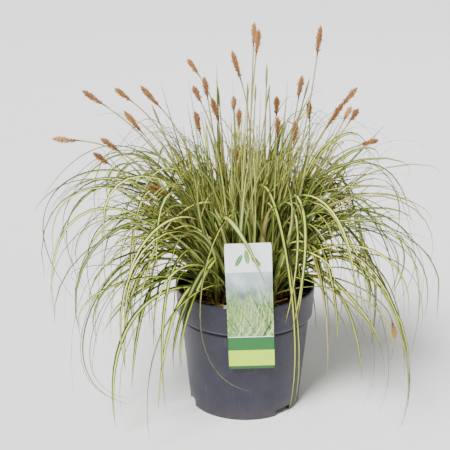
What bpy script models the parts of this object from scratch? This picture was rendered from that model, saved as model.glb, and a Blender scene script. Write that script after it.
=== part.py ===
"""A variegated carex sedge in flower, in a round nursery pot with a hook-on label, at real size.

Metres, +Z up. The origin is the middle of the pot's underside, on the surface the pot stands on.
The front, where the label hangs, faces -Y. The plant is nineteen tufts of leaves, each fused to the
short stub it grows from and standing in its own hole in the soil, and a head on each flower stalk.
"""

import math
import random

import bmesh
import bpy
import numpy as np
from mathutils import Matrix, Vector

SEED = 1
CLEARANCE = 0.0003
WELDS = (0.00003, 0.00001, 0.000003, 0)

# Pot: a moulded nursery pot with a deep collar, a foot ring and a raised channel under its floor.
POT_HEIGHT = 0.170
RIM_RADIUS = 0.095
COLLAR_DEPTH = 0.040
COLLAR_FOOT_RADIUS = 0.0926
BODY_TOP_RADIUS = 0.0876
BODY_TOP_DEPTH = 0.047
FOOT_RADIUS = 0.0755
WALL = 0.0024
RIM_LIP = 0.0034
CHANNEL_HEIGHT = 0.011
PAD_RADIUS = 0.032
POT_SIDES = 40
NOTCH_BEARINGS = (-45, 75, 195)
NOTCH_WIDTH = 0.030
NOTCH_HEIGHT = 0.0085
DRAIN_COUNT = 6
DRAIN_RADIUS = 0.0045
DRAIN_RING_RADIUS = 0.053

# Soil: it fills the pot to a little below the rim and is domed towards the middle.
SOIL_LEVEL = POT_HEIGHT - 0.016
SOIL_DOME = 0.004
SOIL_RELIEF = 0.0016
SOIL_RINGS = 4
HOLE_DEPTH = 0.016

# Label: a stiff plastic card that hooks over the rim.
LABEL_WIDTH = 0.060
LABEL_ABOVE_RIM = 0.092
LABEL_BELOW_RIM = 0.086
LABEL_THICKNESS = 0.0008
LABEL_ACROSS = 0.0065
LABEL_LEAN = math.radians(3.4)
LABEL_ROLL = math.radians(-2.2)
HOOK_WIDTH = 0.018
HOOK_LEFT = -0.034
HOOK_LIFT = 0.0018
HOOK_REACH = 0.0092
HOOK_DROP = 0.010

# Crown: stubs in rings round the pot's axis.
TUFT_RINGS = ((0.0, 1), (0.024, 6), (0.048, 12))
STUB_RADIUS = 0.010
STUB_RISE = 0.012
STUB_SIDES = 7
ROOT_SINK = 0.007
ROOT_SPREAD = 0.0065

# Leaves: keeled blades, narrow at the base and drawn out to a point.
LEAF_KEEL = 0.0009
HALF_WIDTH_RANGE = (0.0021, 0.0034)
ARCHING_LEAVES = 98
UPRIGHT_LEAVES = 68
OUTLINE_STEPS = 6
ARCHING_STEPS = 5
UPRIGHT_STEPS = 4
TRIES = 60
BEND_WEIGHT = 1.0
FLOOR_MARGIN = 0.006

# The leaves that draw the plant's outline: two shoulder points of a cubic curve, then its tip.
# Each point is across, towards the back and up, in millimetres.
OUTLINE_LEAVES = (
    ((20, 15, 310), (305, 25, 280), (270, 30, 105)),
    ((-5, 0, 305), (105, 0, 330), (210, 0, 325)),
    ((0, -60, 510), (280, -95, 150), (195, -160, 30)),
    ((50, 30, 330), (150, 30, 395), (155, 50, 200)),
    ((55, -10, 410), (215, -15, 290), (200, -40, 140)),
    ((65, 45, 335), (315, 55, 260), (220, 80, 110)),
    ((50, -30, 285), (175, -55, 145), (180, -80, 110)),
    ((90, -40, 195), (210, -45, 95), (160, -60, 45)),
    ((85, -60, 200), (140, -90, 80), (135, -110, 35)),
    ((65, -40, 380), (125, -70, 220), (120, -100, 120)),
    ((-5, -55, 550), (95, -115, 155), (55, -140, 40)),
    ((40, -55, 400), (105, -100, 345), (60, -135, 160)),
    ((-5, -70, 330), (-105, -105, 160), (-90, -140, 105)),
    ((25, -90, 505), (-145, -130, 105), (5, -160, 85)),
    ((-70, -60, 335), (-15, -120, 320), (25, -135, 220)),
    ((-100, -15, 345), (-270, -25, 290), (-190, -50, 125)),
    ((-135, -35, 465), (-165, -40, 240), (-145, -80, 100)),
    ((-125, -35, 370), (-315, -60, 50), (-150, -120, 45)),
    ((-60, 20, 315), (-170, 20, 445), (-275, 20, 285)),
    ((-70, 20, 420), (-395, 25, 340), (-235, 30, 125)),
    ((-65, -10, 365), (-220, -15, 380), (-260, -20, 200)),
    ((-80, 50, 305), (-240, 40, 350), (-300, 80, 245)),
    ((-65, -60, 240), (-160, -70, 185), (-185, -95, 135)),
)

# Flower heads: the tip of each, across, towards the back and up, its length, all in millimetres,
# and how far it leans outwards from upright, in degrees.
HEADS = (
    (-254, -20, 376, 36, 86),
    (-221, 40, 429, 38, 58),
    (-188, -40, 383, 31, 53),
    (-194, -70, 372, 30, 50),
    (-179, 60, 428, 31, 57),
    (-138, -10, 446, 40, 42),
    (-156, -50, 422, 40, 38),
    (-80, 70, 467, 29, 45),
    (-55, 0, 456, 31, 10),
    (-68, -30, 450, 26, 25),
    (-64, -70, 427, 35, 18),
    (-46, 30, 422, 29, 19),
    (-20, 40, 484, 43, 24),
    (10, 60, 518, 33, 5),
    (16, 20, 515, 37, 8),
    (-17, 80, 414, 24, 2),
    (-9, -40, 423, 27, 1),
    (42, 70, 417, 29, 4),
    (42, 0, 403, 27, 3),
    (74, 30, 453, 34, 9),
    (95, 0, 523, 42, 6),
    (85, 60, 413, 31, -3),
    (63, -50, 410, 32, 5),
    (146, 10, 441, 35, 38),
    (126, -20, 428, 41, 31),
    (144, 70, 402, 23, 34),
    (141, -60, 428, 24, 32),
    (178, 20, 367, 28, 75),
    (200, -60, 114, 25, 168),
    (-126, -60, 327, 34, 54),
    (-14, -20, 368, 26, 6),
)

# Young spikes, still slim and green: tip across, towards the back and up, and length.
YOUNG_SPIKES = (
    (-38, 50, 432, 24),
    (12, -30, 452, 20),
    (27, 30, 468, 30),
    (32, 60, 434, 22),
    (2, 70, 434, 22),
    (84, 40, 446, 26),
    (-126, 30, 412, 24),
)
HEAD_RADIUS = 0.0027
HEAD_SIDES = 5
HEAD_ROWS = 6
FLORET_RISE = 0.0019
STALK_RADIUS = 0.0009
YOUNG_RADIUS = 0.0015
HEAD_CLEAR_RADIUS = 0.0062

GOLDEN_ANGLE = math.pi * (3 - math.sqrt(5))


def clear_scene():
    for obj in list(bpy.data.objects):
        bpy.data.objects.remove(obj)


def new_collection(name, hidden=False):
    group = bpy.data.collections.new(name)
    group.hide_render = hidden
    bpy.context.scene.collection.children.link(group)
    return group


def new_material(name, colour, roughness):
    material = bpy.data.materials.new(name)
    material.use_nodes = True
    shader = material.node_tree.nodes["Principled BSDF"]
    shader.inputs["Base Color"].default_value = (*colour, 1)
    shader.inputs["Roughness"].default_value = roughness
    shader.inputs["Metallic"].default_value = 0
    return material


def new_object(name, mesh, group, material=None):
    obj = bpy.data.objects.new(name, mesh)
    if material:
        mesh.materials.append(material)
    group.objects.link(obj)
    return obj


def mesh_of(bm, name):
    """The bmesh as a mesh with its normals outwards."""
    bmesh.ops.recalc_face_normals(bm, faces=bm.faces)
    mesh = bpy.data.meshes.new(name)
    bm.to_mesh(mesh)
    bm.free()
    return mesh


def apply_modifiers(obj):
    graph = bpy.context.evaluated_depsgraph_get()
    obj.data = bpy.data.meshes.new_from_object(obj.evaluated_get(graph))
    obj.modifiers.clear()


def combine(obj, pieces, operation, solver):
    """One Boolean of obj with a collection of pieces, applied, after which the pieces are removed."""
    for piece in pieces.objects:
        piece.hide_render = True
        piece.display_type = "WIRE"
    union = obj.modifiers.new(operation.title(), "BOOLEAN")
    union.operand_type = "COLLECTION"
    union.collection = pieces
    union.operation = operation
    union.solver = solver
    apply_modifiers(obj)
    for piece in list(pieces.objects):
        bpy.data.objects.remove(piece)
    bpy.data.collections.remove(pieces)


def largest_piece(bm):
    """Deletes all but the largest connected piece: scraps, and hollows that fusing has sealed."""
    left = set(bm.verts)
    pieces = []
    while left:
        piece, edge = set(), [left.pop()]
        while edge:
            vert = edge.pop()
            piece.add(vert)
            near = {e.other_vert(vert) for e in vert.link_edges} & left
            left -= near
            edge.extend(near)
        pieces.append(piece)
    pieces.sort(key=len)
    scraps = [vert for piece in pieces[:-1] for vert in piece]
    bmesh.ops.delete(bm, geom=scraps, context="VERTS")


def clean_solid(obj):
    """Drops scraps, and welds the slivers that fusing leaves as widely as the solid still closes."""
    for weld in WELDS:
        bm = bmesh.new()
        bm.from_mesh(obj.data)
        if weld:
            bmesh.ops.remove_doubles(bm, verts=bm.verts, dist=weld)
            bmesh.ops.dissolve_degenerate(bm, edges=bm.edges, dist=weld)
            bmesh.ops.triangulate(bm, faces=bm.faces, ngon_method="BEAUTY")
        largest_piece(bm)
        if not weld or all(edge.is_manifold for edge in bm.edges):
            bm.to_mesh(obj.data)
            bm.free()
            return
        bm.free()


def turned(name, profile, group, material):
    """A profile of (radius, height) points, from one point on the axis to another, turned about Z."""
    mesh = bpy.data.meshes.new(name)
    edges = [(i, i + 1) for i in range(len(profile) - 1)]
    mesh.from_pydata([(radius, 0, height) for radius, height in profile], edges, [])
    obj = new_object(name, mesh, group, material)
    screw = obj.modifiers.new("Turn", "SCREW")
    screw.steps = screw.render_steps = POT_SIDES
    screw.use_merge_vertices = True
    screw.merge_threshold = 0.0001
    apply_modifiers(obj)
    return obj


def pot_inside():
    """The pot's inner surface from the middle of its floor to its lip, as (radius, height)."""
    floor = CHANNEL_HEIGHT + WALL
    return [
        (0, WALL),
        (PAD_RADIUS - WALL, WALL),
        (PAD_RADIUS, floor),
        (FOOT_RADIUS - WALL, floor),
        (BODY_TOP_RADIUS - WALL, POT_HEIGHT - BODY_TOP_DEPTH),
        (COLLAR_FOOT_RADIUS - WALL, POT_HEIGHT - COLLAR_DEPTH),
        (RIM_RADIUS - RIM_LIP, POT_HEIGHT - 0.001),
    ]


def pot_outside():
    """The pot's outer surface from its lip down to the middle of its underside."""
    return [
        (RIM_RADIUS - RIM_LIP + 0.001, POT_HEIGHT),
        (RIM_RADIUS - 0.001, POT_HEIGHT),
        (RIM_RADIUS, POT_HEIGHT - 0.0015),
        (COLLAR_FOOT_RADIUS, POT_HEIGHT - COLLAR_DEPTH),
        (BODY_TOP_RADIUS, POT_HEIGHT - BODY_TOP_DEPTH),
        (FOOT_RADIUS, 0),
        (FOOT_RADIUS - WALL - 0.0006, 0),
        (FOOT_RADIUS - WALL - 0.0002, CHANNEL_HEIGHT),
        (PAD_RADIUS + WALL, CHANNEL_HEIGHT),
        (PAD_RADIUS, 0),
        (0, 0),
    ]


def notch_cutter(group, bearing):
    """A block with rounded upper corners, which cuts one notch through the foot ring."""
    bm = bmesh.new()
    bmesh.ops.create_cube(bm, size=1)
    bmesh.ops.scale(bm, vec=(0.016, NOTCH_WIDTH, 2 * NOTCH_HEIGHT), verts=bm.verts)
    top = [
        edge
        for edge in bm.edges
        if min(v.co.z for v in edge.verts) > 0
        and abs(edge.verts[0].co.x - edge.verts[1].co.x) > 0.01
    ]
    bmesh.ops.bevel(bm, geom=top, offset=0.004, segments=3, profile=0.5, affect="EDGES")
    cutter = new_object("notch_cutter", mesh_of(bm, "notch_cutter"), group)
    turn = math.radians(bearing)
    cutter.location = (FOOT_RADIUS * math.cos(turn), FOOT_RADIUS * math.sin(turn), 0)
    cutter.rotation_euler.z = turn


def drain_cutter(group, turn):
    bm = bmesh.new()
    bmesh.ops.create_cone(
        bm, cap_ends=True, segments=8, radius1=DRAIN_RADIUS, radius2=DRAIN_RADIUS, depth=0.02
    )
    cutter = new_object("drain_cutter", mesh_of(bm, "drain_cutter"), group)
    cutter.location = (
        DRAIN_RING_RADIUS * math.cos(turn),
        DRAIN_RING_RADIUS * math.sin(turn),
        CHANNEL_HEIGHT,
    )


def make_pot(group, material):
    pot = turned("pot", pot_inside() + pot_outside(), group, material)
    cutters = new_collection("pot_cutters", hidden=True)
    for bearing in NOTCH_BEARINGS:
        notch_cutter(cutters, bearing)
    for i in range(DRAIN_COUNT):
        drain_cutter(cutters, 2 * math.pi * i / DRAIN_COUNT)
    combine(pot, cutters, "DIFFERENCE", "EXACT")
    pot.data.shade_smooth()
    pot.data.set_sharp_from_angle(angle=math.radians(35))
    return pot


def soil_height(radius, turn):
    """The soil's surface: a low dome with lumps made of a few crossed waves."""
    dome = SOIL_DOME * (1 - (radius / BODY_TOP_RADIUS) ** 2)
    lumps = math.sin(7 * turn + 90 * radius) * math.sin(150 * radius) + 0.6 * math.sin(
        13 * turn - 60 * radius
    )
    return SOIL_LEVEL + dome + SOIL_RELIEF * lumps * min(1, radius / 0.02)


def stub_mesh(radius, height):
    bm = bmesh.new()
    bmesh.ops.create_cone(
        bm, cap_ends=True, segments=STUB_SIDES, radius1=radius, radius2=radius, depth=height
    )
    return mesh_of(bm, "stub")


def make_soil(group, material):
    """The pot's inner profile less a gap, turned, with its top lifted into lumps and a hole a tuft."""
    edge = RIM_RADIUS - RIM_LIP - 0.0022
    profile = [(edge * i / SOIL_RINGS, SOIL_LEVEL) for i in range(SOIL_RINGS + 1)]
    for radius, height in reversed(pot_inside()[:6]):
        profile.append((max(0, radius - CLEARANCE), height + CLEARANCE))
    soil = turned("soil", profile, group, material)
    for vert in soil.data.vertices:
        x, y, z = vert.co
        if z > SOIL_LEVEL - 0.001:
            vert.co.z = soil_height(math.hypot(x, y), math.atan2(y, x))
    cutters = new_collection("soil_cutters", hidden=True)
    for x, y in tuft_places():
        hole = stub_mesh(STUB_RADIUS + 0.0005, HOLE_DEPTH + 0.03)
        cutter = new_object("hole_cutter", hole, cutters)
        cutter.location = (x, y, SOIL_LEVEL - HOLE_DEPTH + 0.5 * (HOLE_DEPTH + 0.03))
    combine(soil, cutters, "DIFFERENCE", "EXACT")
    clean_solid(soil)
    return soil


def box_piece(low, high, group):
    bm = bmesh.new()
    bmesh.ops.create_cube(bm, size=1)
    size = Vector(high) - Vector(low)
    middle = (Vector(high) + Vector(low)) / 2
    bmesh.ops.transform(
        bm, matrix=Matrix.Translation(middle) @ Matrix.Diagonal((*size, 1)), verts=bm.verts
    )
    return new_object("block", mesh_of(bm, "block"), group)


def make_label(group, material):
    """A card in front of the rim, with a strap behind it that bridges the rim and drops inside."""
    half = LABEL_WIDTH / 2
    outline = bpy.data.curves.new("label", "CURVE")
    outline.dimensions = "2D"
    outline.fill_mode = "BOTH"
    outline.extrude = LABEL_THICKNESS / 2
    spline = outline.splines.new("POLY")
    corner = 0.0015
    low, high = -LABEL_BELOW_RIM, LABEL_ABOVE_RIM
    corners = (
        (-half + corner, low), (half - corner, low), (half, low + corner), (half, high - corner),
        (half - corner, high), (-half + corner, high), (-half, high - corner), (-half, low + corner),
    )
    spline.points.add(len(corners) - 1)
    for point, (x, y) in zip(spline.points, corners):
        point.co = (x, y, 0, 1)
    spline.use_cyclic_u = True
    card = new_object("label_outline", outline, group)
    graph = bpy.context.evaluated_depsgraph_get()
    bm = bmesh.new()
    bm.from_mesh(bpy.data.meshes.new_from_object(card.evaluated_get(graph)))
    bpy.data.objects.remove(card)
    bmesh.ops.remove_doubles(bm, verts=bm.verts, dist=0.00005)
    bmesh.ops.rotate(bm, verts=bm.verts, matrix=Matrix.Rotation(math.pi / 2, 3, "X"))
    label = new_object("label", mesh_of(bm, "label"), group, material)
    strap = new_collection("label_strap", hidden=True)
    right = HOOK_LEFT + HOOK_WIDTH
    top = HOOK_LIFT + LABEL_THICKNESS
    inner = HOOK_REACH + LABEL_THICKNESS
    box_piece((HOOK_LEFT, -0.0001, HOOK_LIFT), (right, inner, top), strap)
    tongue_high = (right - 0.0002, inner + 0.0001, top - 0.0001)
    box_piece((HOOK_LEFT + 0.0002, HOOK_REACH, -HOOK_DROP), tongue_high, strap)
    combine(label, strap, "UNION", "EXACT")
    label.location = (LABEL_ACROSS, -RIM_RADIUS - CLEARANCE - LABEL_THICKNESS / 2, POT_HEIGHT)
    label.rotation_euler = (LABEL_LEAN, LABEL_ROLL, 0)
    return label


def tuft_places():
    """The middle of each stub, ring by ring."""
    return [
        (radius * math.cos(turn), radius * math.sin(turn))
        for radius, count in TUFT_RINGS
        for turn in (2 * math.pi * (i + 0.5) / count for i in range(count))
    ]


def nearest_tuft(x, y):
    """The tuft that a leaf or stalk ending over (x, y) grows from: the one nearest a point part way."""
    reach = math.hypot(x, y)
    along = min(0.048, 0.36 * reach) / max(reach, 1e-6)
    places = tuft_places()
    return min(
        range(len(places)),
        key=lambda i: math.hypot(places[i][0] - x * along, places[i][1] - y * along),
    )


def cubic_at(corners, t):
    """Points and unit tangents of the cubic Bezier curve with these four corners."""
    t = t[:, None]
    p0, p1, p2, p3 = (np.asarray(corner, float) for corner in corners)
    points = (1 - t) ** 3 * p0 + 3 * t * (1 - t) ** 2 * p1 + 3 * t * t * (1 - t) * p2 + t**3 * p3
    tangents = (1 - t) ** 2 * (p1 - p0) + 2 * t * (1 - t) * (p2 - p1) + t * t * (p3 - p2)
    return points, tangents / np.linalg.norm(tangents, axis=1, keepdims=True)


def bend_steps(corners, count):
    """count + 1 parameters of that curve, closer together where it bends, and their share of its length."""
    t = np.linspace(0, 1, 65)
    points, tangents = cubic_at(corners, t)
    length = np.linalg.norm(np.diff(points, axis=0), axis=1)
    turn = np.arccos(np.clip((tangents[1:] * tangents[:-1]).sum(1), -1, 1))
    pace = length / length.sum() + BEND_WEIGHT * turn / max(turn.sum(), 1e-6)
    run = np.concatenate([[0], np.cumsum(pace)]) / pace.sum()
    picked = np.interp(np.linspace(0, 1, count + 1), run, t)
    share = np.interp(picked, t, np.concatenate([[0], np.cumsum(length)]) / length.sum())
    return picked, share


def leaf_taper(t):
    """A leaf's share of its full width: about half at the base, full a third of the way, then fine."""
    return (0.55 + 0.45 * np.minimum(1, t / 0.3)) * (1 - np.clip((t - 0.35) / 0.65, 0, 1) ** 1.7)


def swing_axis(corners):
    """The direction square to the plane that a curve mostly bends in, on the left of its heading."""
    tangents = cubic_at(corners, np.linspace(0, 1, 33))[1]
    square = np.linalg.svd(tangents, full_matrices=False)[2][2]
    plan = np.asarray(corners[3], float) - np.asarray(corners[0], float)
    return square * math.copysign(1, square[1] * plan[0] - square[0] * plan[1])


class Strand:
    """A leaf, stalk or head as a run of points, with its half width and half depth at each."""

    def __init__(self, tuft, corners, steps, half_width, depth, roll=0.0, taper=leaf_taper):
        self.tuft = tuft
        picked, t = bend_steps(corners, steps)
        self.points, tangents = cubic_at(corners, picked)
        across = swing_axis(corners)
        across = across - tangents * (tangents @ across)[:, None]
        across /= np.linalg.norm(across, axis=1, keepdims=True)
        under = np.cross(across, tangents)
        turn = (roll * t)[:, None]
        self.across = across * np.cos(turn) + under * np.sin(turn)
        self.under = under * np.cos(turn) - across * np.sin(turn)
        self.half_width = half_width * taper(t)
        self.depth = np.full(steps + 1, depth)

    def segments(self):
        """Start, end, across, under, half width and depth of each straight stretch."""
        width = np.maximum(self.half_width[1:], self.half_width[:-1])
        return (
            self.points[:-1], self.points[1:], self.across[:-1], self.under[:-1], width, self.depth[1:],
        )


def nearest_gap(p1, q1, p2, q2):
    """The shortest vector between each stretch p1-q1 and each stretch p2-q2, as a table."""
    d1, d2 = (q1 - p1)[:, None], (q2 - p2)[None]
    r = p1[:, None] - p2[None]
    a, e, b = (d1 * d1).sum(-1), (d2 * d2).sum(-1), (d1 * d2).sum(-1)
    c, f = (d1 * r).sum(-1), (d2 * r).sum(-1)
    s = np.clip((b * f - c * e) / np.maximum(a * e - b * b, 1e-15), 0, 1)
    t = np.clip((b * s + f) / e, 0, 1)
    s = np.clip((b * t - c) / a, 0, 1)
    return r + d1 * s[..., None] - d2 * t[..., None]


class Thicket:
    """Every strand placed so far, to test a new one against."""

    def __init__(self):
        self.strands = []
        self.columns = None
        self.owners = np.zeros(0, int)

    def add(self, strand):
        self.strands.append(strand)
        columns = strand.segments()
        if self.columns is None:
            self.columns = list(columns)
        else:
            self.columns = [np.concatenate(pair) for pair in zip(self.columns, columns)]
        self.owners = np.concatenate([self.owners, np.full(len(columns[0]), strand.tuft)])

    def hits(self, strand):
        """How many stretches of other tufts and heads strand runs into, and how many of its own tuft."""
        p2, q2, across2, under2, width2, depth2 = self.columns
        p1, q1, across1, under1, width1, depth1 = strand.segments()
        gap = nearest_gap(p1, q1, p2, q2)
        distance = np.linalg.norm(gap, axis=-1)
        way = gap / np.maximum(distance, 1e-9)[..., None]

        def half_size(across, under, width, depth):
            return width * abs((way * across).sum(-1)) + depth * abs((way * under).sum(-1))

        own = half_size(across1[:, None], under1[:, None], width1[:, None], depth1[:, None])
        theirs = half_size(across2[None], under2[None], width2[None], depth2[None])
        hit = distance < own + theirs + CLEARANCE
        other = self.owners != strand.tuft
        return int(hit[:, other].sum()), int(hit[:, ~other].sum())

    def clear_of(self, strand):
        """Whether strand stays out of what belongs to other tufts and to heads."""
        return self.hits(strand)[0] == 0


def clear_of_holder(strand):
    """Whether a strand stays out of the pot's wall, the label, the soil and the floor."""
    fine = np.concatenate(
        [
            strand.points[:-1] + (strand.points[1:] - strand.points[:-1]) * share
            for share in (0, 0.25, 0.5, 0.75)
        ]
        + [strand.points[-1:]]
    )
    x, y, z = fine.T
    radius = np.hypot(x, y)
    in_wall = (radius > 0.080) & (radius < RIM_RADIUS + 0.0045) & (z < POT_HEIGHT + 0.005)
    in_label = (
        (abs(x - LABEL_ACROSS) < LABEL_WIDTH / 2 + 0.010)
        & (y < -0.086)
        & (y > -0.108)
        & (z > POT_HEIGHT - LABEL_BELOW_RIM - 0.006)
        & (z < POT_HEIGHT + LABEL_ABOVE_RIM + 0.006)
    )
    in_floor = z < FLOOR_MARGIN
    return not (in_wall | in_label | in_floor).any()


def root_of(tuft, x, y, rng):
    """Where a strand leaves its stub: off the stub's middle, towards (x, y), and sunk below its top."""
    centre_x, centre_y = tuft_places()[tuft]
    turn = math.atan2(y - centre_y, x - centre_x) + rng.uniform(-0.9, 0.9)
    out = ROOT_SPREAD * math.sqrt(rng.uniform(0.1, 1))
    height = SOIL_LEVEL + STUB_RISE - ROOT_SINK
    return (centre_x + out * math.cos(turn), centre_y + out * math.sin(turn), height)


def outline_leaf(points, rng, shift):
    """One of OUTLINE_LEAVES, its shoulders and tip moved by up to shift metres."""
    corners = [
        [value / 1000 + rng.uniform(-shift, shift) for value in point] for point in points
    ]
    tip = corners[-1]
    tuft = nearest_tuft(tip[0], tip[1])
    root = root_of(tuft, tip[0], tip[1], rng)
    return Strand(
        tuft, [root, *corners], OUTLINE_STEPS, rng.uniform(0.0030, 0.0037), LEAF_KEEL, rng.uniform(-0.5, 0.5)
    )


def drawn_leaf(tuft, rng, arching):
    """A leaf drawn at random. An arching one rises, bends over its shoulder and hangs.

    An upright one leans out and only nods. Leaves towards the front arch less, so that the
    label and the pot show.
    """
    centre_x, centre_y = tuft_places()[tuft]
    ring = math.hypot(centre_x, centre_y) / TUFT_RINGS[-1][0]
    heading = math.atan2(centre_y, centre_x) + rng.gauss(0, 0.45 + 1.4 * (1 - ring))
    from_front = abs((heading + math.pi / 2 + math.pi) % (2 * math.pi) - math.pi)
    base = SOIL_LEVEL + STUB_RISE
    if arching:
        reach = rng.uniform(0.13, 0.275)
        if from_front < 0.75:
            heading += math.copysign(0.7, math.sin(heading + math.pi / 2))
        rise = rng.uniform(0.06, 0.22)
        shoulder = rise * rng.uniform(0.55, 1.15)
        fall = rng.uniform(0.02, 0.23)
        near, far = rng.uniform(0.12, 0.42), rng.uniform(0.85, 1.2)
        tip_height = max(FLOOR_MARGIN + 0.01, base + shoulder - fall)
    else:
        reach = rng.uniform(0.03, 0.17) + 0.02 * ring
        rise = rng.uniform(0.07, 0.12)
        shoulder = rng.uniform(0.13, 0.19) - 0.25 * reach
        near, far = 0.3, rng.uniform(0.55, 0.8)
        tip_height = base + shoulder + rng.uniform(-0.01, 0.07)
    swing = rng.gauss(0, 0.14)

    def at(share, turn, height):
        return (
            centre_x + (reach - ring * 0.04) * share * math.cos(heading + turn),
            centre_y + (reach - ring * 0.04) * share * math.sin(heading + turn),
            height,
        )

    tip = at(1, swing, tip_height)
    corners = [
        root_of(tuft, tip[0], tip[1], rng),
        at(near, 0, base + rise),
        at(far, swing * 0.5, base + shoulder),
        tip,
    ]
    steps = ARCHING_STEPS if arching else UPRIGHT_STEPS
    return Strand(
        tuft, corners, steps, rng.uniform(*HALF_WIDTH_RANGE), LEAF_KEEL, rng.uniform(-0.9, 0.9)
    )


def head_direction(x, y, root, lean):
    """Unit vector up a head that leans outwards from its root by lean degrees."""
    heading = math.atan2(y - root[1], x - root[0])
    tilt = math.radians(lean)
    return np.array(
        [math.sin(tilt) * math.cos(heading), math.sin(tilt) * math.sin(heading), math.cos(tilt)]
    )


def stalk(tip, length, lean, rng):
    """The stalk under a head whose tip is given, and the head itself as a strand along its axis."""
    tip = np.array(tip) / 1000
    tuft = nearest_tuft(tip[0], tip[1])
    root = np.array(root_of(tuft, tip[0], tip[1], rng))
    up = head_direction(tip[0], tip[1], root, lean)
    foot = tip - up * length / 1000
    span = np.linalg.norm(foot - root)
    rise = root + (foot - root) * (0.12, 0.12, 0) + np.array([0, 0, 0.4 * span])
    corners = [root, rise, foot - up * 0.33 * span, foot - up * CLEARANCE]
    return Strand(tuft, corners, 4, STALK_RADIUS, STALK_RADIUS * 1.6, 0.0, np.ones_like), foot, up


def spindle(t):
    return 0.45 + 0.55 * np.sin(math.pi * np.clip(t, 0, 1)) ** 0.7


def head_strand(owner, foot, up, length, radius, taper, steps):
    """A head's own room, as a straight strand from its foot."""
    corners = [foot + up * length / 1000 * share for share in (0, 1 / 3, 2 / 3, 1)]
    return Strand(owner, corners, steps, radius, radius, 0.0, taper)


def place_flowers(thicket, rng):
    """Each stalk with its head, nudged until both are clear. Gives the heads as (foot, up, length)."""
    heads = []
    for x, y, z, length, lean in HEADS:
        for attempt in range(TRIES):
            nudge = [rng.uniform(-0.35 * attempt, 0.35 * attempt) for _ in range(3)]
            strand, foot, up = stalk((x + nudge[0], y + nudge[1], z + nudge[2]), length, lean, rng)
            owner = -1 - len(heads)
            body = head_strand(owner, foot, up, length, HEAD_CLEAR_RADIUS, np.ones_like, 1)
            if thicket.clear_of(strand) and thicket.clear_of(body) and clear_of_holder(strand):
                break
        thicket.add(strand)
        thicket.add(body)
        heads.append((foot, up, length / 1000))
    for x, y, z, length in YOUNG_SPIKES:
        lean = math.degrees(math.atan2(math.hypot(x, y) * 0.8, z - 170))
        for attempt in range(TRIES):
            nudge = [rng.uniform(-0.35 * attempt, 0.35 * attempt) for _ in range(3)]
            strand, foot, up = stalk((x + nudge[0], y + nudge[1], z + nudge[2]), length, lean, rng)
            base = foot - up * 0.004
            spike = head_strand(strand.tuft, base, up, length + 4, YOUNG_RADIUS, spindle, 3)
            if thicket.clear_of(strand) and thicket.clear_of(spike):
                break
        thicket.add(strand)
        thicket.add(spike)
    return heads


def place_leaves(thicket, rng):
    """The outline leaves, nudged until clear of the rest, then others, redrawn until clear.

    Leaves of one tuft may cross, since they are fused, but the draw that crosses least is kept.
    """
    for points in OUTLINE_LEAVES:
        for attempt in range(TRIES):
            strand = outline_leaf(points, rng, 0.0004 * attempt)
            if thicket.clear_of(strand) and clear_of_holder(strand):
                thicket.add(strand)
                break
    count = len(tuft_places())
    for i in range(ARCHING_LEAVES + UPRIGHT_LEAVES):
        arching = i < ARCHING_LEAVES
        tuft = i % count if not arching else count - 1 - i % (count - 2)
        best = None
        for _ in range(TRIES):
            strand = drawn_leaf(tuft, rng, arching)
            other, own = thicket.hits(strand)
            if other == 0 and clear_of_holder(strand) and (best is None or own < best[0]):
                best = (own, strand)
            if best and best[0] <= 1:
                break
        if best:
            thicket.add(best[1])


def strand_mesh(strand):
    """A three-sided loft: the two edges and the keel of each ring, closed at the root, to a point."""
    bm = bmesh.new()
    rings = []
    for point, across, under, width, depth in zip(
        strand.points[:-1], strand.across, strand.under, strand.half_width, strand.depth
    ):
        side = across * max(width, 0.0006)
        rings.append([bm.verts.new(p) for p in (point - side, point + side, point + under * depth)])
    tip = bm.verts.new(strand.points[-1])
    for lower, upper in zip(rings, rings[1:]):
        for i in range(3):
            j = (i + 1) % 3
            bm.faces.new((lower[i], lower[j], upper[j], upper[i]))
    for i in range(3):
        bm.faces.new((rings[-1][i], rings[-1][(i + 1) % 3], tip))
    bm.faces.new(rings[0][::-1])
    return mesh_of(bm, "strand")


def make_tuft(index, place, strands, group, material):
    """A stub with its leaves and stalks fused to it."""
    height = HOLE_DEPTH - CLEARANCE + STUB_RISE
    mesh = stub_mesh(STUB_RADIUS, height)
    mesh.transform(Matrix.Translation((*place, SOIL_LEVEL - HOLE_DEPTH + CLEARANCE + height / 2)))
    tuft = new_object(f"tuft_{index:02d}", mesh, group, material)
    leaves = new_collection(f"leaves_{index:02d}", hidden=True)
    for strand in strands:
        new_object("leaf", strand_mesh(strand), leaves)
    combine(tuft, leaves, "UNION", "MANIFOLD")
    clean_solid(tuft)
    return tuft


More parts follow.
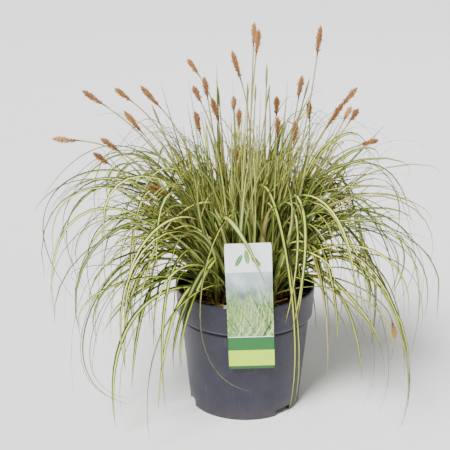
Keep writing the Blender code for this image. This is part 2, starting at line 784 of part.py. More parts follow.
def head_mesh():
    """A slim spindle 1 m long, made of florets: a pointed pyramid stands on each diamond of its grid."""
    bm = bmesh.new()
    step = 2 * math.pi / HEAD_SIDES

    def at(row, turn, out, up):
        share = (row + 0.4) / (HEAD_ROWS + 1)
        radius = HEAD_RADIUS * math.sin(math.pi * share**0.8) ** 0.6 + out
        return bm.verts.new((radius * math.cos(turn), radius * math.sin(turn), share + up))

    grid = [
        [at(row, (i + row / 2) * step, 0, -0.4 / (HEAD_ROWS + 1)) for i in range(HEAD_SIDES)]
        for row in range(HEAD_ROWS + 1)
    ]
    for row in range(HEAD_ROWS - 1):
        for i in range(HEAD_SIDES):
            tip = at(row + 1, (i + row / 2) * step, FLORET_RISE, 0.3 / (HEAD_ROWS + 1))
            corners = (grid[row][i], grid[row + 1][i], grid[row + 2][i - 1], grid[row + 1][i - 1])
            for first, second in zip(corners, corners[1:] + corners[:1]):
                bm.faces.new((first, second, tip))
    end = bm.verts.new((0, 0, 1))
    for i in range(HEAD_SIDES):
        j = (i + 1) % HEAD_SIDES
        bm.faces.new((grid[0][i], grid[0][j], grid[1][i]))
        bm.faces.new((grid[-2][j], grid[-1][j], grid[-1][i]))
        bm.faces.new((grid[-1][i], grid[-1][j], end))
    bm.faces.new(grid[0][::-1])
    return mesh_of(bm, "flower_head")


def make_heads(heads, group, material):
    """The heads share one mesh, each stood on the end of its stalk and stretched to its length."""
    mesh = head_mesh()
    mesh.materials.append(material)
    for index, (foot, up, length) in enumerate(heads):
        head = new_object(f"flower_head_{index:02d}", mesh, group)
        turn = Matrix.Rotation(index * GOLDEN_ANGLE, 4, "Z")
        aim = Vector(up).to_track_quat("Z", "Y").to_matrix().to_4x4()
        stretch = Matrix.Diagonal((1, 1, length, 1))
        head.matrix_world = Matrix.Translation(foot) @ aim @ turn @ stretch


def stub_strands():
    """Each stub as a strand, so that leaves of other tufts pass clear of it."""
    for index, (x, y) in enumerate(tuft_places()):
        corners = [(x, y, SOIL_LEVEL + STUB_RISE * share) for share in (0, 0.3, 0.5, 0.75)]
        yield Strand(index, corners, 1, STUB_RADIUS, STUB_RADIUS, 0.0, np.ones_like)


def main():
    clear_scene()
    rng = random.Random(SEED)
    group = new_collection("carex_sedge")
    make_pot(group, new_material("pot_plastic", (0.10, 0.10, 0.12), 0.45))
    make_soil(group, new_material("potting_soil", (0.05, 0.03, 0.02), 0.95))
    make_label(group, new_material("label_card", (0.75, 0.82, 0.62), 0.4))
    thicket = Thicket()
    for stub in stub_strands():
        thicket.add(stub)
    heads = place_flowers(thicket, rng)
    place_leaves(thicket, rng)
    leaf_green = new_material("leaf", (0.36, 0.42, 0.13), 0.5)
    stubs = len(tuft_places())
    for index, place in enumerate(tuft_places()):
        strands = [s for s in thicket.strands[stubs:] if s.tuft == index]
        make_tuft(index, place, strands, group, leaf_green)
    make_heads(heads, group, new_material("flower_head", (0.42, 0.20, 0.07), 0.85))


main()
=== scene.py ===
"""Dresses the potted carex sedge: fine leaves, fuzzy flower heads, soil, pot and plant label.

Every piece is a surface worked out with numpy from a few named values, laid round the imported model.
"""

import math
import random

import bpy
import numpy as np
from bpy.props import FloatProperty, FloatVectorProperty, PointerProperty
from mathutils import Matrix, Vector


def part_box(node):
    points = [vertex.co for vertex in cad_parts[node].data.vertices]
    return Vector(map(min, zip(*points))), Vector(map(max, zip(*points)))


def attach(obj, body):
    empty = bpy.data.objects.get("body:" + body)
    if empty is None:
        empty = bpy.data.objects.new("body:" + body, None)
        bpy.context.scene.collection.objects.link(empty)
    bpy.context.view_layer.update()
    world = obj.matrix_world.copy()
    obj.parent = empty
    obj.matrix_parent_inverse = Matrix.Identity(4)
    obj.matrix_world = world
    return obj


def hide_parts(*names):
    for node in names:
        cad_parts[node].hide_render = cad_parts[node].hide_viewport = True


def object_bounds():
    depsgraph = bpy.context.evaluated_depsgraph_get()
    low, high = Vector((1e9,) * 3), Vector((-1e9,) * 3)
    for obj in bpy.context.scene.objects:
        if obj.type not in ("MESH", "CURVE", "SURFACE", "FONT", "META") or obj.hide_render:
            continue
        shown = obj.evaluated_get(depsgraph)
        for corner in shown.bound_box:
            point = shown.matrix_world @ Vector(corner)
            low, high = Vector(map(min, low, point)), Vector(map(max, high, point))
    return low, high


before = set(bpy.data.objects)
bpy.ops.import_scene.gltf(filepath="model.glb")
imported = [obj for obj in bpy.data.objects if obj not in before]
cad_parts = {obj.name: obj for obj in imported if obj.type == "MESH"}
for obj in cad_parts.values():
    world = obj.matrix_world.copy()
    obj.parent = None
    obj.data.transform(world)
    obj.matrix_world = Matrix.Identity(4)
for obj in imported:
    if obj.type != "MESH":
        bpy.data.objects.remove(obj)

bl_info = {
    "name": "Carex sedge in a pot",
    "version": (1, 0, 0),
    "blender": (4, 5, 0),
    "location": "View3D > Sidebar > Sedge",
    "description": "Makes the leaves, flower heads, soil, pot and label of a potted sedge",
    "category": "Add Mesh",
}

CAD_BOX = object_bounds()
POT_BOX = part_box("pot")

SEED = 1
CLEARANCE = 0.0003

# Pot: a moulded nursery pot with a deep collar, a notched foot ring and a raised channel under its
# floor. Its drain holes are in the solid alone.
POT_HEIGHT = 0.170
RIM_RADIUS = 0.095
COLLAR_DEPTH = 0.040
COLLAR_FOOT_RADIUS = 0.0926
BODY_TOP_RADIUS = 0.0876
BODY_TOP_DEPTH = 0.047
FOOT_RADIUS = 0.0755
WALL = 0.0024
RIM_LIP = 0.0034
CHANNEL_HEIGHT = 0.011
PAD_RADIUS = 0.032
NOTCH_BEARINGS = (-45, 75, 195)
NOTCH_WIDTH = 0.030
NOTCH_HEIGHT = 0.0085

# Soil: it fills the pot to a little below the rim and is domed towards the middle.
SOIL_LEVEL = POT_HEIGHT - 0.016
SOIL_DOME = 0.004

# Label: a stiff plastic card that hooks over the rim.
LABEL_WIDTH = 0.060
LABEL_ABOVE_RIM = 0.092
LABEL_BELOW_RIM = 0.086
LABEL_THICKNESS = 0.0008
LABEL_ACROSS = 0.0065
LABEL_LEAN = math.radians(3.4)
LABEL_ROLL = math.radians(-2.2)
HOOK_WIDTH = 0.018
HOOK_LEFT = -0.034
HOOK_LIFT = 0.0018
HOOK_REACH = 0.0092
HOOK_DROP = 0.010

# Crown: stubs in rings round the pot's axis. Leaves start at them, and the scene shows no stub itself.
TUFT_RINGS = ((0.0, 1), (0.024, 6), (0.048, 12))
STUB_RADIUS = 0.010
STUB_RISE = 0.012
ROOT_SINK = 0.007
ROOT_SPREAD = 0.0065

# Leaves: keeled blades, narrow at the base and drawn out to a point.
LEAF_KEEL = 0.0009
TIP_HALF_WIDTH = 0.00012
HALF_WIDTH_RANGE = (0.0021, 0.0034)
ARCHING_LEAVES = 98
UPRIGHT_LEAVES = 68
OUTLINE_STEPS = 6
ARCHING_STEPS = 5
UPRIGHT_STEPS = 4
TRIES = 60
BEND_WEIGHT = 1.0
FLOOR_MARGIN = 0.006

# What leaves stay out of: the pot's wall and rim, and a box round the label.
WALL_INSIDE = 0.080
RIM_ROOM = 0.0045
RIM_TOP_ROOM = 0.005
LABEL_SIDE_ROOM = 0.010
LABEL_DEPTHS = (-0.108, -0.086)
LABEL_END_ROOM = 0.006

# The leaves that draw the plant's outline: two shoulder points of a cubic curve, then its tip.
# Each point is across, towards the back and up, in millimetres.
OUTLINE_LEAVES = (
    ((20, 15, 310), (305, 25, 280), (270, 30, 105)),
    ((-5, 0, 305), (105, 0, 330), (210, 0, 325)),
    ((0, -60, 510), (280, -95, 150), (195, -160, 30)),
    ((50, 30, 330), (150, 30, 395), (155, 50, 200)),
    ((55, -10, 410), (215, -15, 290), (200, -40, 140)),
    ((65, 45, 335), (315, 55, 260), (220, 80, 110)),
    ((50, -30, 285), (175, -55, 145), (180, -80, 110)),
    ((90, -40, 195), (210, -45, 95), (160, -60, 45)),
    ((85, -60, 200), (140, -90, 80), (135, -110, 35)),
    ((65, -40, 380), (125, -70, 220), (120, -100, 120)),
    ((-5, -55, 550), (95, -115, 155), (55, -140, 40)),
    ((40, -55, 400), (105, -100, 345), (60, -135, 160)),
    ((-5, -70, 330), (-105, -105, 160), (-90, -140, 105)),
    ((25, -90, 505), (-145, -130, 105), (5, -160, 85)),
    ((-70, -60, 335), (-15, -120, 320), (25, -135, 220)),
    ((-100, -15, 345), (-270, -25, 290), (-190, -50, 125)),
    ((-135, -35, 465), (-165, -40, 240), (-145, -80, 100)),
    ((-125, -35, 370), (-315, -60, 50), (-150, -120, 45)),
    ((-60, 20, 315), (-170, 20, 445), (-275, 20, 285)),
    ((-70, 20, 420), (-395, 25, 340), (-235, 30, 125)),
    ((-65, -10, 365), (-220, -15, 380), (-260, -20, 200)),
    ((-80, 50, 305), (-240, 40, 350), (-300, 80, 245)),
    ((-65, -60, 240), (-160, -70, 185), (-185, -95, 135)),
)

# Flower heads: the tip of each, across, towards the back and up, and its length, all in millimetres,
# and how far it leans outwards from upright, in degrees.
HEADS = (
    (-254, -20, 376, 36, 86),
    (-221, 40, 429, 38, 58),
    (-188, -40, 383, 31, 53),
    (-194, -70, 372, 30, 50),
    (-179, 60, 428, 31, 57),
    (-138, -10, 446, 40, 42),
    (-156, -50, 422, 40, 38),
    (-80, 70, 467, 29, 45),
    (-55, 0, 456, 31, 10),
    (-68, -30, 450, 26, 25),
    (-64, -70, 427, 35, 18),
    (-46, 30, 422, 29, 19),
    (-20, 40, 484, 43, 24),
    (10, 60, 518, 33, 5),
    (16, 20, 515, 37, 8),
    (-17, 80, 414, 24, 2),
    (-9, -40, 423, 27, 1),
    (42, 70, 417, 29, 4),
    (42, 0, 403, 27, 3),
    (74, 30, 453, 34, 9),
    (95, 0, 523, 42, 6),
    (85, 60, 413, 31, -3),
    (63, -50, 410, 32, 5),
    (146, 10, 441, 35, 38),
    (126, -20, 428, 41, 31),
    (144, 70, 402, 23, 34),
    (141, -60, 428, 24, 32),
    (178, 20, 367, 28, 75),
    (200, -60, 114, 25, 168),
    (-126, -60, 327, 34, 54),
    (-14, -20, 368, 26, 6),
)

# Young spikes, still slim and green: tip across, towards the back and up, and length.
YOUNG_SPIKES = (
    (-38, 50, 432, 24),
    (12, -30, 452, 20),
    (27, 30, 468, 30),
    (32, 60, 434, 22),
    (2, 70, 434, 22),
    (84, 40, 446, 26),
    (-126, 30, 412, 24),
)
STALK_RADIUS = 0.0009
YOUNG_RADIUS = 0.0015
HEAD_CLEAR_RADIUS = 0.0062

PALE_HEADS = (0, 6, 13, 15, 25, 28)

GOLDEN_ANGLE = math.pi * (3 - math.sqrt(5))

# What only the scene has: how many of each, and where it may lie.
SHEATHS = 13
SHEATH_REACH = 0.086
COMPANIONS = 2
COMPANION_TRIES = 12
THIN_TRIES = 10
LITTER = 60
LITTER_REACH = 0.084
CRUMBS = 900
CRUMB_REACH = 0.087
FLORETS = 110
ANTHERS = 170
HAIR_RADIUS = 0.00026
USUAL_HEAD = 0.032
BOX_MARGIN = 0.004

# A box before the label that added leaves stay out of: its middle, half width, front and heights.
VIEW_MIDDLE = 0.008
VIEW_HALF_WIDTH = 0.040
VIEW_FRONT = -0.055
VIEW_HEIGHTS = (0.05, 0.26)

# The leaves that each tuft gets in the scene alone: how many of a kind, and its half widths.
THIN_KINDS = {
    "arching": (5, (0.0020, 0.0032)),
    "upright": (14, (0.0018, 0.0032)),
    "tall": (3, (0.0013, 0.0024)),
    "nodding": (6, (0.0007, 0.0016)),
    "hair": (2, (0.0004, 0.0007)),
}


def pot_inside():
    """The pot's inner surface from the middle of its floor to its lip, as (radius, height)."""
    floor = CHANNEL_HEIGHT + WALL
    return [
        (0, WALL),
        (PAD_RADIUS - WALL, WALL),
        (PAD_RADIUS, floor),
        (FOOT_RADIUS - WALL, floor),
        (BODY_TOP_RADIUS - WALL, POT_HEIGHT - BODY_TOP_DEPTH),
        (COLLAR_FOOT_RADIUS - WALL, POT_HEIGHT - COLLAR_DEPTH),
        (RIM_RADIUS - RIM_LIP, POT_HEIGHT - 0.001),
    ]


def tuft_places():
    """The middle of each stub, ring by ring."""
    return [
        (radius * math.cos(turn), radius * math.sin(turn))
        for radius, count in TUFT_RINGS
        for turn in (2 * math.pi * (i + 0.5) / count for i in range(count))
    ]


def nearest_tuft(x, y):
    """The tuft that a leaf or stalk ending over (x, y) grows from: the one nearest a point part way."""
    reach = math.hypot(x, y)
    along = min(TUFT_RINGS[-1][0], 0.36 * reach) / max(reach, 1e-6)
    places = tuft_places()
    return min(
        range(len(places)),
        key=lambda i: math.hypot(places[i][0] - x * along, places[i][1] - y * along),
    )


def cubic_at(corners, t):
    """Points and unit tangents of the cubic Bezier curve with these four corners."""
    t = t[:, None]
    p0, p1, p2, p3 = (np.asarray(corner, float) for corner in corners)
    points = (1 - t) ** 3 * p0 + 3 * t * (1 - t) ** 2 * p1 + 3 * t * t * (1 - t) * p2 + t**3 * p3
    tangents = (1 - t) ** 2 * (p1 - p0) + 2 * t * (1 - t) * (p2 - p1) + t * t * (p3 - p2)
    return points, tangents / np.linalg.norm(tangents, axis=1, keepdims=True)


def bend_steps(corners, count):
    """count + 1 parameters of that curve, closer where it bends, and their share of its length."""
    t = np.linspace(0, 1, 65)
    points, tangents = cubic_at(corners, t)
    length = np.linalg.norm(np.diff(points, axis=0), axis=1)
    turn = np.arccos(np.clip((tangents[1:] * tangents[:-1]).sum(1), -1, 1))
    pace = length / length.sum() + BEND_WEIGHT * turn / max(turn.sum(), 1e-6)
    run = np.concatenate([[0], np.cumsum(pace)]) / pace.sum()
    picked = np.interp(np.linspace(0, 1, count + 1), run, t)
    share = np.interp(picked, t, np.concatenate([[0], np.cumsum(length)]) / length.sum())
    return picked, share


def leaf_taper(t):
    """A leaf's share of its full width: about half at the base, full a third of the way, then fine."""
    return (0.55 + 0.45 * np.minimum(1, t / 0.3)) * (1 - np.clip((t - 0.35) / 0.65, 0, 1) ** 1.7)


def swing_axis(corners):
    """The direction square to the plane that a curve mostly bends in, on the left of its heading."""
    tangents = cubic_at(corners, np.linspace(0, 1, 33))[1]
    square = np.linalg.svd(tangents, full_matrices=False)[2][2]
    plan = np.asarray(corners[3], float) - np.asarray(corners[0], float)
    return square * math.copysign(1, square[1] * plan[0] - square[0] * plan[1])


class Strand:
    """A leaf, stalk or head as a run of points, with its half width and half depth at each."""

    def __init__(self, tuft, corners, steps, half_width, depth, roll=0.0, taper=leaf_taper):
        self.tuft, self.corners, self.full_width = tuft, corners, half_width
        self.roll, self.taper = roll, taper
        picked, t = bend_steps(corners, steps)
        self.share = t
        self.points, tangents = cubic_at(corners, picked)
        across = swing_axis(corners)
        across = across - tangents * (tangents @ across)[:, None]
        across /= np.linalg.norm(across, axis=1, keepdims=True)
        under = np.cross(across, tangents)
        turn = (roll * t)[:, None]
        self.across = across * np.cos(turn) + under * np.sin(turn)
        self.under = under * np.cos(turn) - across * np.sin(turn)
        self.half_width = half_width * taper(t)
        self.depth = np.full(steps + 1, depth)

    def redrawn(self, corners, steps):
        """The same leaf along another curve."""
        return Strand(self.tuft, corners, steps, self.full_width, LEAF_KEEL, self.roll, self.taper)

    def segments(self):
        """Start, end, across, under, half width and depth of each straight stretch."""
        width = np.maximum(self.half_width[1:], self.half_width[:-1])
        return (
            self.points[:-1], self.points[1:], self.across[:-1], self.under[:-1], width, self.depth[1:],
        )


def nearest_gap(p1, q1, p2, q2):
    """The shortest vector between each stretch p1-q1 and each stretch p2-q2, as a table."""
    d1, d2 = (q1 - p1)[:, None], (q2 - p2)[None]
    r = p1[:, None] - p2[None]
    a, e, b = (d1 * d1).sum(-1), (d2 * d2).sum(-1), (d1 * d2).sum(-1)
    c, f = (d1 * r).sum(-1), (d2 * r).sum(-1)
    s = np.clip((b * f - c * e) / np.maximum(a * e - b * b, 1e-15), 0, 1)
    t = np.clip((b * s + f) / e, 0, 1)
    s = np.clip((b * t - c) / a, 0, 1)
    return r + d1 * s[..., None] - d2 * t[..., None]


class Thicket:
    """Every strand placed so far, to test a new one against."""

    def __init__(self):
        self.strands = []
        self.columns = None
        self.owners = np.zeros(0, int)

    def add(self, strand):
        """Keeps a strand, with its stretches in the table that later ones are tested against."""
        self.strands.append(strand)
        columns = strand.segments()
        if self.columns is None:
            self.columns = list(columns)
        else:
            self.columns = [np.concatenate(pair) for pair in zip(self.columns, columns)]
        self.owners = np.concatenate([self.owners, np.full(len(columns[0]), strand.tuft)])

    def hits(self, strand):
        """How many stretches of other tufts and heads strand runs into, and how many of its own tuft."""
        p2, q2, across2, under2, width2, depth2 = self.columns
        p1, q1, across1, under1, width1, depth1 = strand.segments()
        gap = nearest_gap(p1, q1, p2, q2)
        distance = np.linalg.norm(gap, axis=-1)
        way = gap / np.maximum(distance, 1e-9)[..., None]

        def half_size(across, under, width, depth):
            return width * abs((way * across).sum(-1)) + depth * abs((way * under).sum(-1))

        own = half_size(across1[:, None], under1[:, None], width1[:, None], depth1[:, None])
        theirs = half_size(across2[None], under2[None], width2[None], depth2[None])
        hit = distance < own + theirs + CLEARANCE
        other = self.owners != strand.tuft
        return int(hit[:, other].sum()), int(hit[:, ~other].sum())

    def clear_of(self, strand):
        """Whether strand stays out of what belongs to other tufts and to heads."""
        return self.hits(strand)[0] == 0


def clear_of_holder(strand):
    """Whether a strand stays out of the pot's wall, the label, the soil and the floor."""
    fine = np.concatenate(
        [
            strand.points[:-1] + (strand.points[1:] - strand.points[:-1]) * share
            for share in (0, 0.25, 0.5, 0.75)
        ]
        + [strand.points[-1:]]
    )
    x, y, z = fine.T
    radius = np.hypot(x, y)
    in_wall = (
        (radius > WALL_INSIDE) & (radius < RIM_RADIUS + RIM_ROOM) & (z < POT_HEIGHT + RIM_TOP_ROOM)
    )
    in_label = (
        (abs(x - LABEL_ACROSS) < LABEL_WIDTH / 2 + LABEL_SIDE_ROOM)
        & (y > LABEL_DEPTHS[0])
        & (y < LABEL_DEPTHS[1])
        & (z > POT_HEIGHT - LABEL_BELOW_RIM - LABEL_END_ROOM)
        & (z < POT_HEIGHT + LABEL_ABOVE_RIM + LABEL_END_ROOM)
    )
    in_floor = z < FLOOR_MARGIN
    return not (in_wall | in_label | in_floor).any()


def root_of(tuft, x, y, rng):
    """Where a strand leaves its stub: off the stub's middle, towards (x, y), and sunk below its top."""
    centre_x, centre_y = tuft_places()[tuft]
    turn = math.atan2(y - centre_y, x - centre_x) + rng.uniform(-0.9, 0.9)
    out = ROOT_SPREAD * math.sqrt(rng.uniform(0.1, 1))
    height = SOIL_LEVEL + STUB_RISE - ROOT_SINK
    return (centre_x + out * math.cos(turn), centre_y + out * math.sin(turn), height)


def outline_leaf(points, rng, shift):
    """One of OUTLINE_LEAVES, its shoulders and tip moved by up to shift metres."""
    corners = [
        [value / 1000 + rng.uniform(-shift, shift) for value in point] for point in points
    ]
    tip = corners[-1]
    tuft = nearest_tuft(tip[0], tip[1])
    root = root_of(tuft, tip[0], tip[1], rng)
    half_width, roll = rng.uniform(0.0030, 0.0037), rng.uniform(-0.5, 0.5)
    return Strand(tuft, [root, *corners], OUTLINE_STEPS, half_width, LEAF_KEEL, roll)


def drawn_leaf(tuft, rng, arching):
    """A leaf drawn at random. An arching one rises, bends over its shoulder and hangs.

    An upright one leans out and only nods. Leaves towards the front arch less, so that the
    label and the pot show.
    """
    centre_x, centre_y = tuft_places()[tuft]
    ring = math.hypot(centre_x, centre_y) / TUFT_RINGS[-1][0]
    heading = math.atan2(centre_y, centre_x) + rng.gauss(0, 0.45 + 1.4 * (1 - ring))
    from_front = abs((heading + math.pi / 2 + math.pi) % (2 * math.pi) - math.pi)
    base = SOIL_LEVEL + STUB_RISE
    if arching:
        reach = rng.uniform(0.13, 0.275)
        if from_front < 0.75:
            heading += math.copysign(0.7, math.sin(heading + math.pi / 2))
        rise = rng.uniform(0.06, 0.22)
        shoulder = rise * rng.uniform(0.55, 1.15)
        fall = rng.uniform(0.02, 0.23)
        near, far = rng.uniform(0.12, 0.42), rng.uniform(0.85, 1.2)
        tip_height = max(FLOOR_MARGIN + 0.01, base + shoulder - fall)
    else:
        reach = rng.uniform(0.03, 0.17) + 0.02 * ring
        rise = rng.uniform(0.07, 0.12)
        shoulder = rng.uniform(0.13, 0.19) - 0.25 * reach
        near, far = 0.3, rng.uniform(0.55, 0.8)
        tip_height = base + shoulder + rng.uniform(-0.01, 0.07)
    swing = rng.gauss(0, 0.14)

    def at(share, turn, height):
        return (
            centre_x + (reach - ring * 0.04) * share * math.cos(heading + turn),
            centre_y + (reach - ring * 0.04) * share * math.sin(heading + turn),
            height,
        )

    tip = at(1, swing, tip_height)
    corners = [
        root_of(tuft, tip[0], tip[1], rng),
        at(near, 0, base + rise),
        at(far, swing * 0.5, base + shoulder),
        tip,
    ]
    steps = ARCHING_STEPS if arching else UPRIGHT_STEPS
    return Strand(
        tuft, corners, steps, rng.uniform(*HALF_WIDTH_RANGE), LEAF_KEEL, rng.uniform(-0.9, 0.9)
    )


def head_direction(x, y, root, lean):
    """Unit vector up a head that leans outwards from its root by lean degrees."""
    heading = math.atan2(y - root[1], x - root[0])
    tilt = math.radians(lean)
    return np.array(
        [math.sin(tilt) * math.cos(heading), math.sin(tilt) * math.sin(heading), math.cos(tilt)]
    )


def stalk(tip, length, lean, rng):
    """The stalk under a head whose tip is given, and the head itself as a strand along its axis."""
    tip = np.array(tip) / 1000
    tuft = nearest_tuft(tip[0], tip[1])
    root = np.array(root_of(tuft, tip[0], tip[1], rng))
    up = head_direction(tip[0], tip[1], root, lean)
    foot = tip - up * length / 1000
    span = np.linalg.norm(foot - root)
    rise = root + (foot - root) * (0.12, 0.12, 0) + np.array([0, 0, 0.4 * span])
    corners = [root, rise, foot - up * 0.33 * span, foot - up * CLEARANCE]
    return Strand(tuft, corners, 4, STALK_RADIUS, STALK_RADIUS * 1.6, 0.0, np.ones_like), foot, up


def spindle(t):
    """A young spike's share of its full radius: 0.45 at both ends and swelling as a sine between."""
    return 0.45 + 0.55 * np.sin(math.pi * np.clip(t, 0, 1)) ** 0.7


def head_strand(owner, foot, up, length, radius, taper, steps):
    """A head's own room, as a straight strand from its foot."""
    corners = [foot + up * length / 1000 * share for share in (0, 1 / 3, 2 / 3, 1)]
    return Strand(owner, corners, steps, radius, radius, 0.0, taper)


def place_flowers(thicket, rng):
    """Each stalk with its head, nudged until both are clear. Gives the heads as (foot, up, length)."""
    heads = []
    for x, y, z, length, lean in HEADS:
        for attempt in range(TRIES):
            nudge = [rng.uniform(-0.35 * attempt, 0.35 * attempt) for _ in range(3)]
            strand, foot, up = stalk((x + nudge[0], y + nudge[1], z + nudge[2]), length, lean, rng)
            owner = -1 - len(heads)
            body = head_strand(owner, foot, up, length, HEAD_CLEAR_RADIUS, np.ones_like, 1)
            if thicket.clear_of(strand) and thicket.clear_of(body) and clear_of_holder(strand):
                break
        thicket.add(strand)
        thicket.add(body)
        heads.append((foot, up, length / 1000))
    for x, y, z, length in YOUNG_SPIKES:
        lean = math.degrees(math.atan2(math.hypot(x, y) * 0.8, z - 170))
        for attempt in range(TRIES):
            nudge = [rng.uniform(-0.35 * attempt, 0.35 * attempt) for _ in range(3)]
            strand, foot, up = stalk((x + nudge[0], y + nudge[1], z + nudge[2]), length, lean, rng)
            base = foot - up * 0.004
            spike = head_strand(strand.tuft, base, up, length + 4, YOUNG_RADIUS, spindle, 3)
            if thicket.clear_of(strand) and thicket.clear_of(spike):
                break
        thicket.add(strand)
        thicket.add(spike)
    return heads


def place_leaves(thicket, rng):
    """The outline leaves, nudged until clear of the rest, then others, redrawn until clear.

    Leaves of one tuft may cross, since they are fused, but the draw that crosses least is kept.
    """
    for points in OUTLINE_LEAVES:
        for attempt in range(TRIES):
            strand = outline_leaf(points, rng, 0.0004 * attempt)
            if thicket.clear_of(strand) and clear_of_holder(strand):
                thicket.add(strand)
                break
    count = len(tuft_places())
    for i in range(ARCHING_LEAVES + UPRIGHT_LEAVES):
        arching = i < ARCHING_LEAVES
        tuft = i % count if not arching else count - 1 - i % (count - 2)
        best = None
        for _ in range(TRIES):
            strand = drawn_leaf(tuft, rng, arching)
            other, own = thicket.hits(strand)
            if other == 0 and clear_of_holder(strand) and (best is None or own < best[0]):
                best = (own, strand)
            if best and best[0] <= 1:
                break
        if best:
            thicket.add(best[1])


def stub_strands():
    """Each stub as a strand, so that leaves of other tufts pass clear of it."""
    for index, (x, y) in enumerate(tuft_places()):
        corners = [(x, y, SOIL_LEVEL + STUB_RISE * share) for share in (0, 0.3, 0.5, 0.75)]
        yield Strand(index, corners, 1, STUB_RADIUS, STUB_RADIUS, 0.0, np.ones_like)


class Fine:
    """How finely the dressed surfaces are cut, and the seeds of what only the scene adds."""

    LEAF_RINGS = 22
    OUTLINE_RINGS = 34
    THIN_RINGS = 14
    LITTER_RINGS = 8
    SHEATH_RINGS = 7
    STALK_RINGS = 18
    STALK_SIDES = 6
    CORE_RINGS = 9
    CORE_SIDES = 7
    POT_TURNS = 160
    NOTCH_TURNS = 25
    SOIL_RINGS = 46
    SOIL_TURNS = 150
    LABEL_COLUMNS = 17
    LABEL_ROWS = 41
    STRAP_TURNS = 6
    THIN_SEED = 21
    SOIL_SEED = 5
    HEAD_SEED = 9


class Value:
    """A socket that a Python expression can work with. Each operator adds one Math node."""

    def __init__(self, tree, socket):
        self.tree = tree
        self.socket = socket

    def math(self, operation, *others):
        """One Math node on this value and others, which are values or numbers."""
        node = self.tree.nodes.new("ShaderNodeMath")
        node.operation = operation
        for slot, value in zip(node.inputs, (self, *others)):
            if isinstance(value, Value):
                self.tree.links.new(value.socket, slot)
            else:
                slot.default_value = value
        return Value(self.tree, node.outputs[0])

    def swapped(self, operation, other):
        """One Math node with the number other first and this value second."""
        node = self.tree.nodes.new("ShaderNodeMath")
        node.operation = operation
        node.inputs[0].default_value = other
        self.tree.links.new(self.socket, node.inputs[1])
        return Value(self.tree, node.outputs[0])

    def __add__(self, other):
        return self.math("ADD", other)

    __radd__ = __add__

    def __mul__(self, other):
        return self.math("MULTIPLY", other)

    __rmul__ = __mul__

    def __sub__(self, other):
        return self.math("SUBTRACT", other)

    def __rsub__(self, other):
        return self.swapped("SUBTRACT", other)

    def __truediv__(self, other):
        return self.math("DIVIDE", other)

    def __pow__(self, other):
        return self.math("POWER", other)

    def __abs__(self):
        return self.math("ABSOLUTE")

    def fract(self):
        return self.math("FRACT")

    def sine(self):
        return self.math("SINE")

    def least(self, other):
        return self.math("MINIMUM", other)


class Finish:
    """A material being made: its node tree, its Principled shader and short ways to add nodes."""

    def __init__(self, name, roughness=0.5, **constants):
        self.material = bpy.data.materials.new(name)
        self.material.use_nodes = True
        self.tree = self.material.node_tree
        self.shader = self.tree.nodes["Principled BSDF"]
        self.shader.inputs["Roughness"].default_value = roughness
        for socket, value in constants.items():
            self.shader.inputs[socket.replace("_", " ")].default_value = value

    def add(self, kind, settings=None, **inputs):
        """A node of that kind with its settings and its inputs' values or links; i0 is the first input."""
        node = self.tree.nodes.new(kind)
        for name, value in (settings or {}).items():
            setattr(node, name, value)
        for name, value in inputs.items():
            numbered = name[0] == "i" and name[1:].isdigit()
            slot = node.inputs[int(name[1:]) if numbered else name]
            if isinstance(value, Value):
                self.tree.links.new(value.socket, slot)
            else:
                slot.default_value = value
        return node

    def out(self, node, index=0):
        """One of a node's outputs as a value."""
        return Value(self.tree, node.outputs[index])

    def place(self):
        """Object coordinates."""
        return self.out(self.add("ShaderNodeTexCoord"), 3)

    def uv(self):
        """Across and along, from the piece's own UV map."""
        split = self.add("ShaderNodeSeparateXYZ", None, Vector=self.out(self.add("ShaderNodeUVMap")))
        return self.out(split, 0), self.out(split, 1)

    def attribute(self, name):
        """The value that each point of the mesh holds under that name."""
        return self.out(self.add("ShaderNodeAttribute", {"attribute_name": name}), 2)

    def vector(self, x, y, z):
        """Three values or numbers as one vector."""
        return self.out(self.add("ShaderNodeCombineXYZ", None, i0=x, i1=y, i2=z))

    def noise(self, vector, scale, detail=2.0, roughness=0.5):
        """Noise from 0 to 1 at vector."""
        node = self.add(
            "ShaderNodeTexNoise", None, Vector=vector, Scale=scale, Detail=detail, Roughness=roughness
        )
        return self.out(node, 0)

    def step(self, value, low, high):
        """0 below low, 1 above high and smooth between."""
        node = self.add(
            "ShaderNodeMapRange", {"interpolation_type": "SMOOTHSTEP"}, i0=value, i1=low, i2=high
        )
        return self.out(node)

    def mix(self, factor, first, second):
        """Colour first where factor is 0 and second where it is 1."""
        node = self.add("ShaderNodeMix", {"data_type": "RGBA"})
        for slot, value in ((node.inputs[0], factor), (node.inputs[6], first), (node.inputs[7], second)):
            if isinstance(value, Value):
                self.tree.links.new(value.socket, slot)
            elif isinstance(value, tuple):
                slot.default_value = (*value, 1)
            else:
                slot.default_value = value
        return Value(self.tree, node.outputs[2])

    def wire(self, **sockets):
        """Links values to the shader's sockets of those names."""
        for name, value in sockets.items():
            self.tree.links.new(value.socket, self.shader.inputs[name.replace("_", " ")])

    def bump(self, height, strength, distance):
        """Relief in the shading alone, distance metres high."""
        node = self.add("ShaderNodeBump", None, Height=height, Strength=strength, Distance=distance)
        self.tree.links.new(node.outputs[0], self.shader.inputs["Normal"])


def linear(red, green, blue):
    """Shader colour of a colour given as 0 to 255, by the sRGB curve."""
    parts = (value / 255 for value in (red, green, blue))
    return tuple(p / 12.92 if p <= 0.04045 else ((p + 0.055) / 1.055) ** 2.4 for p in parts)


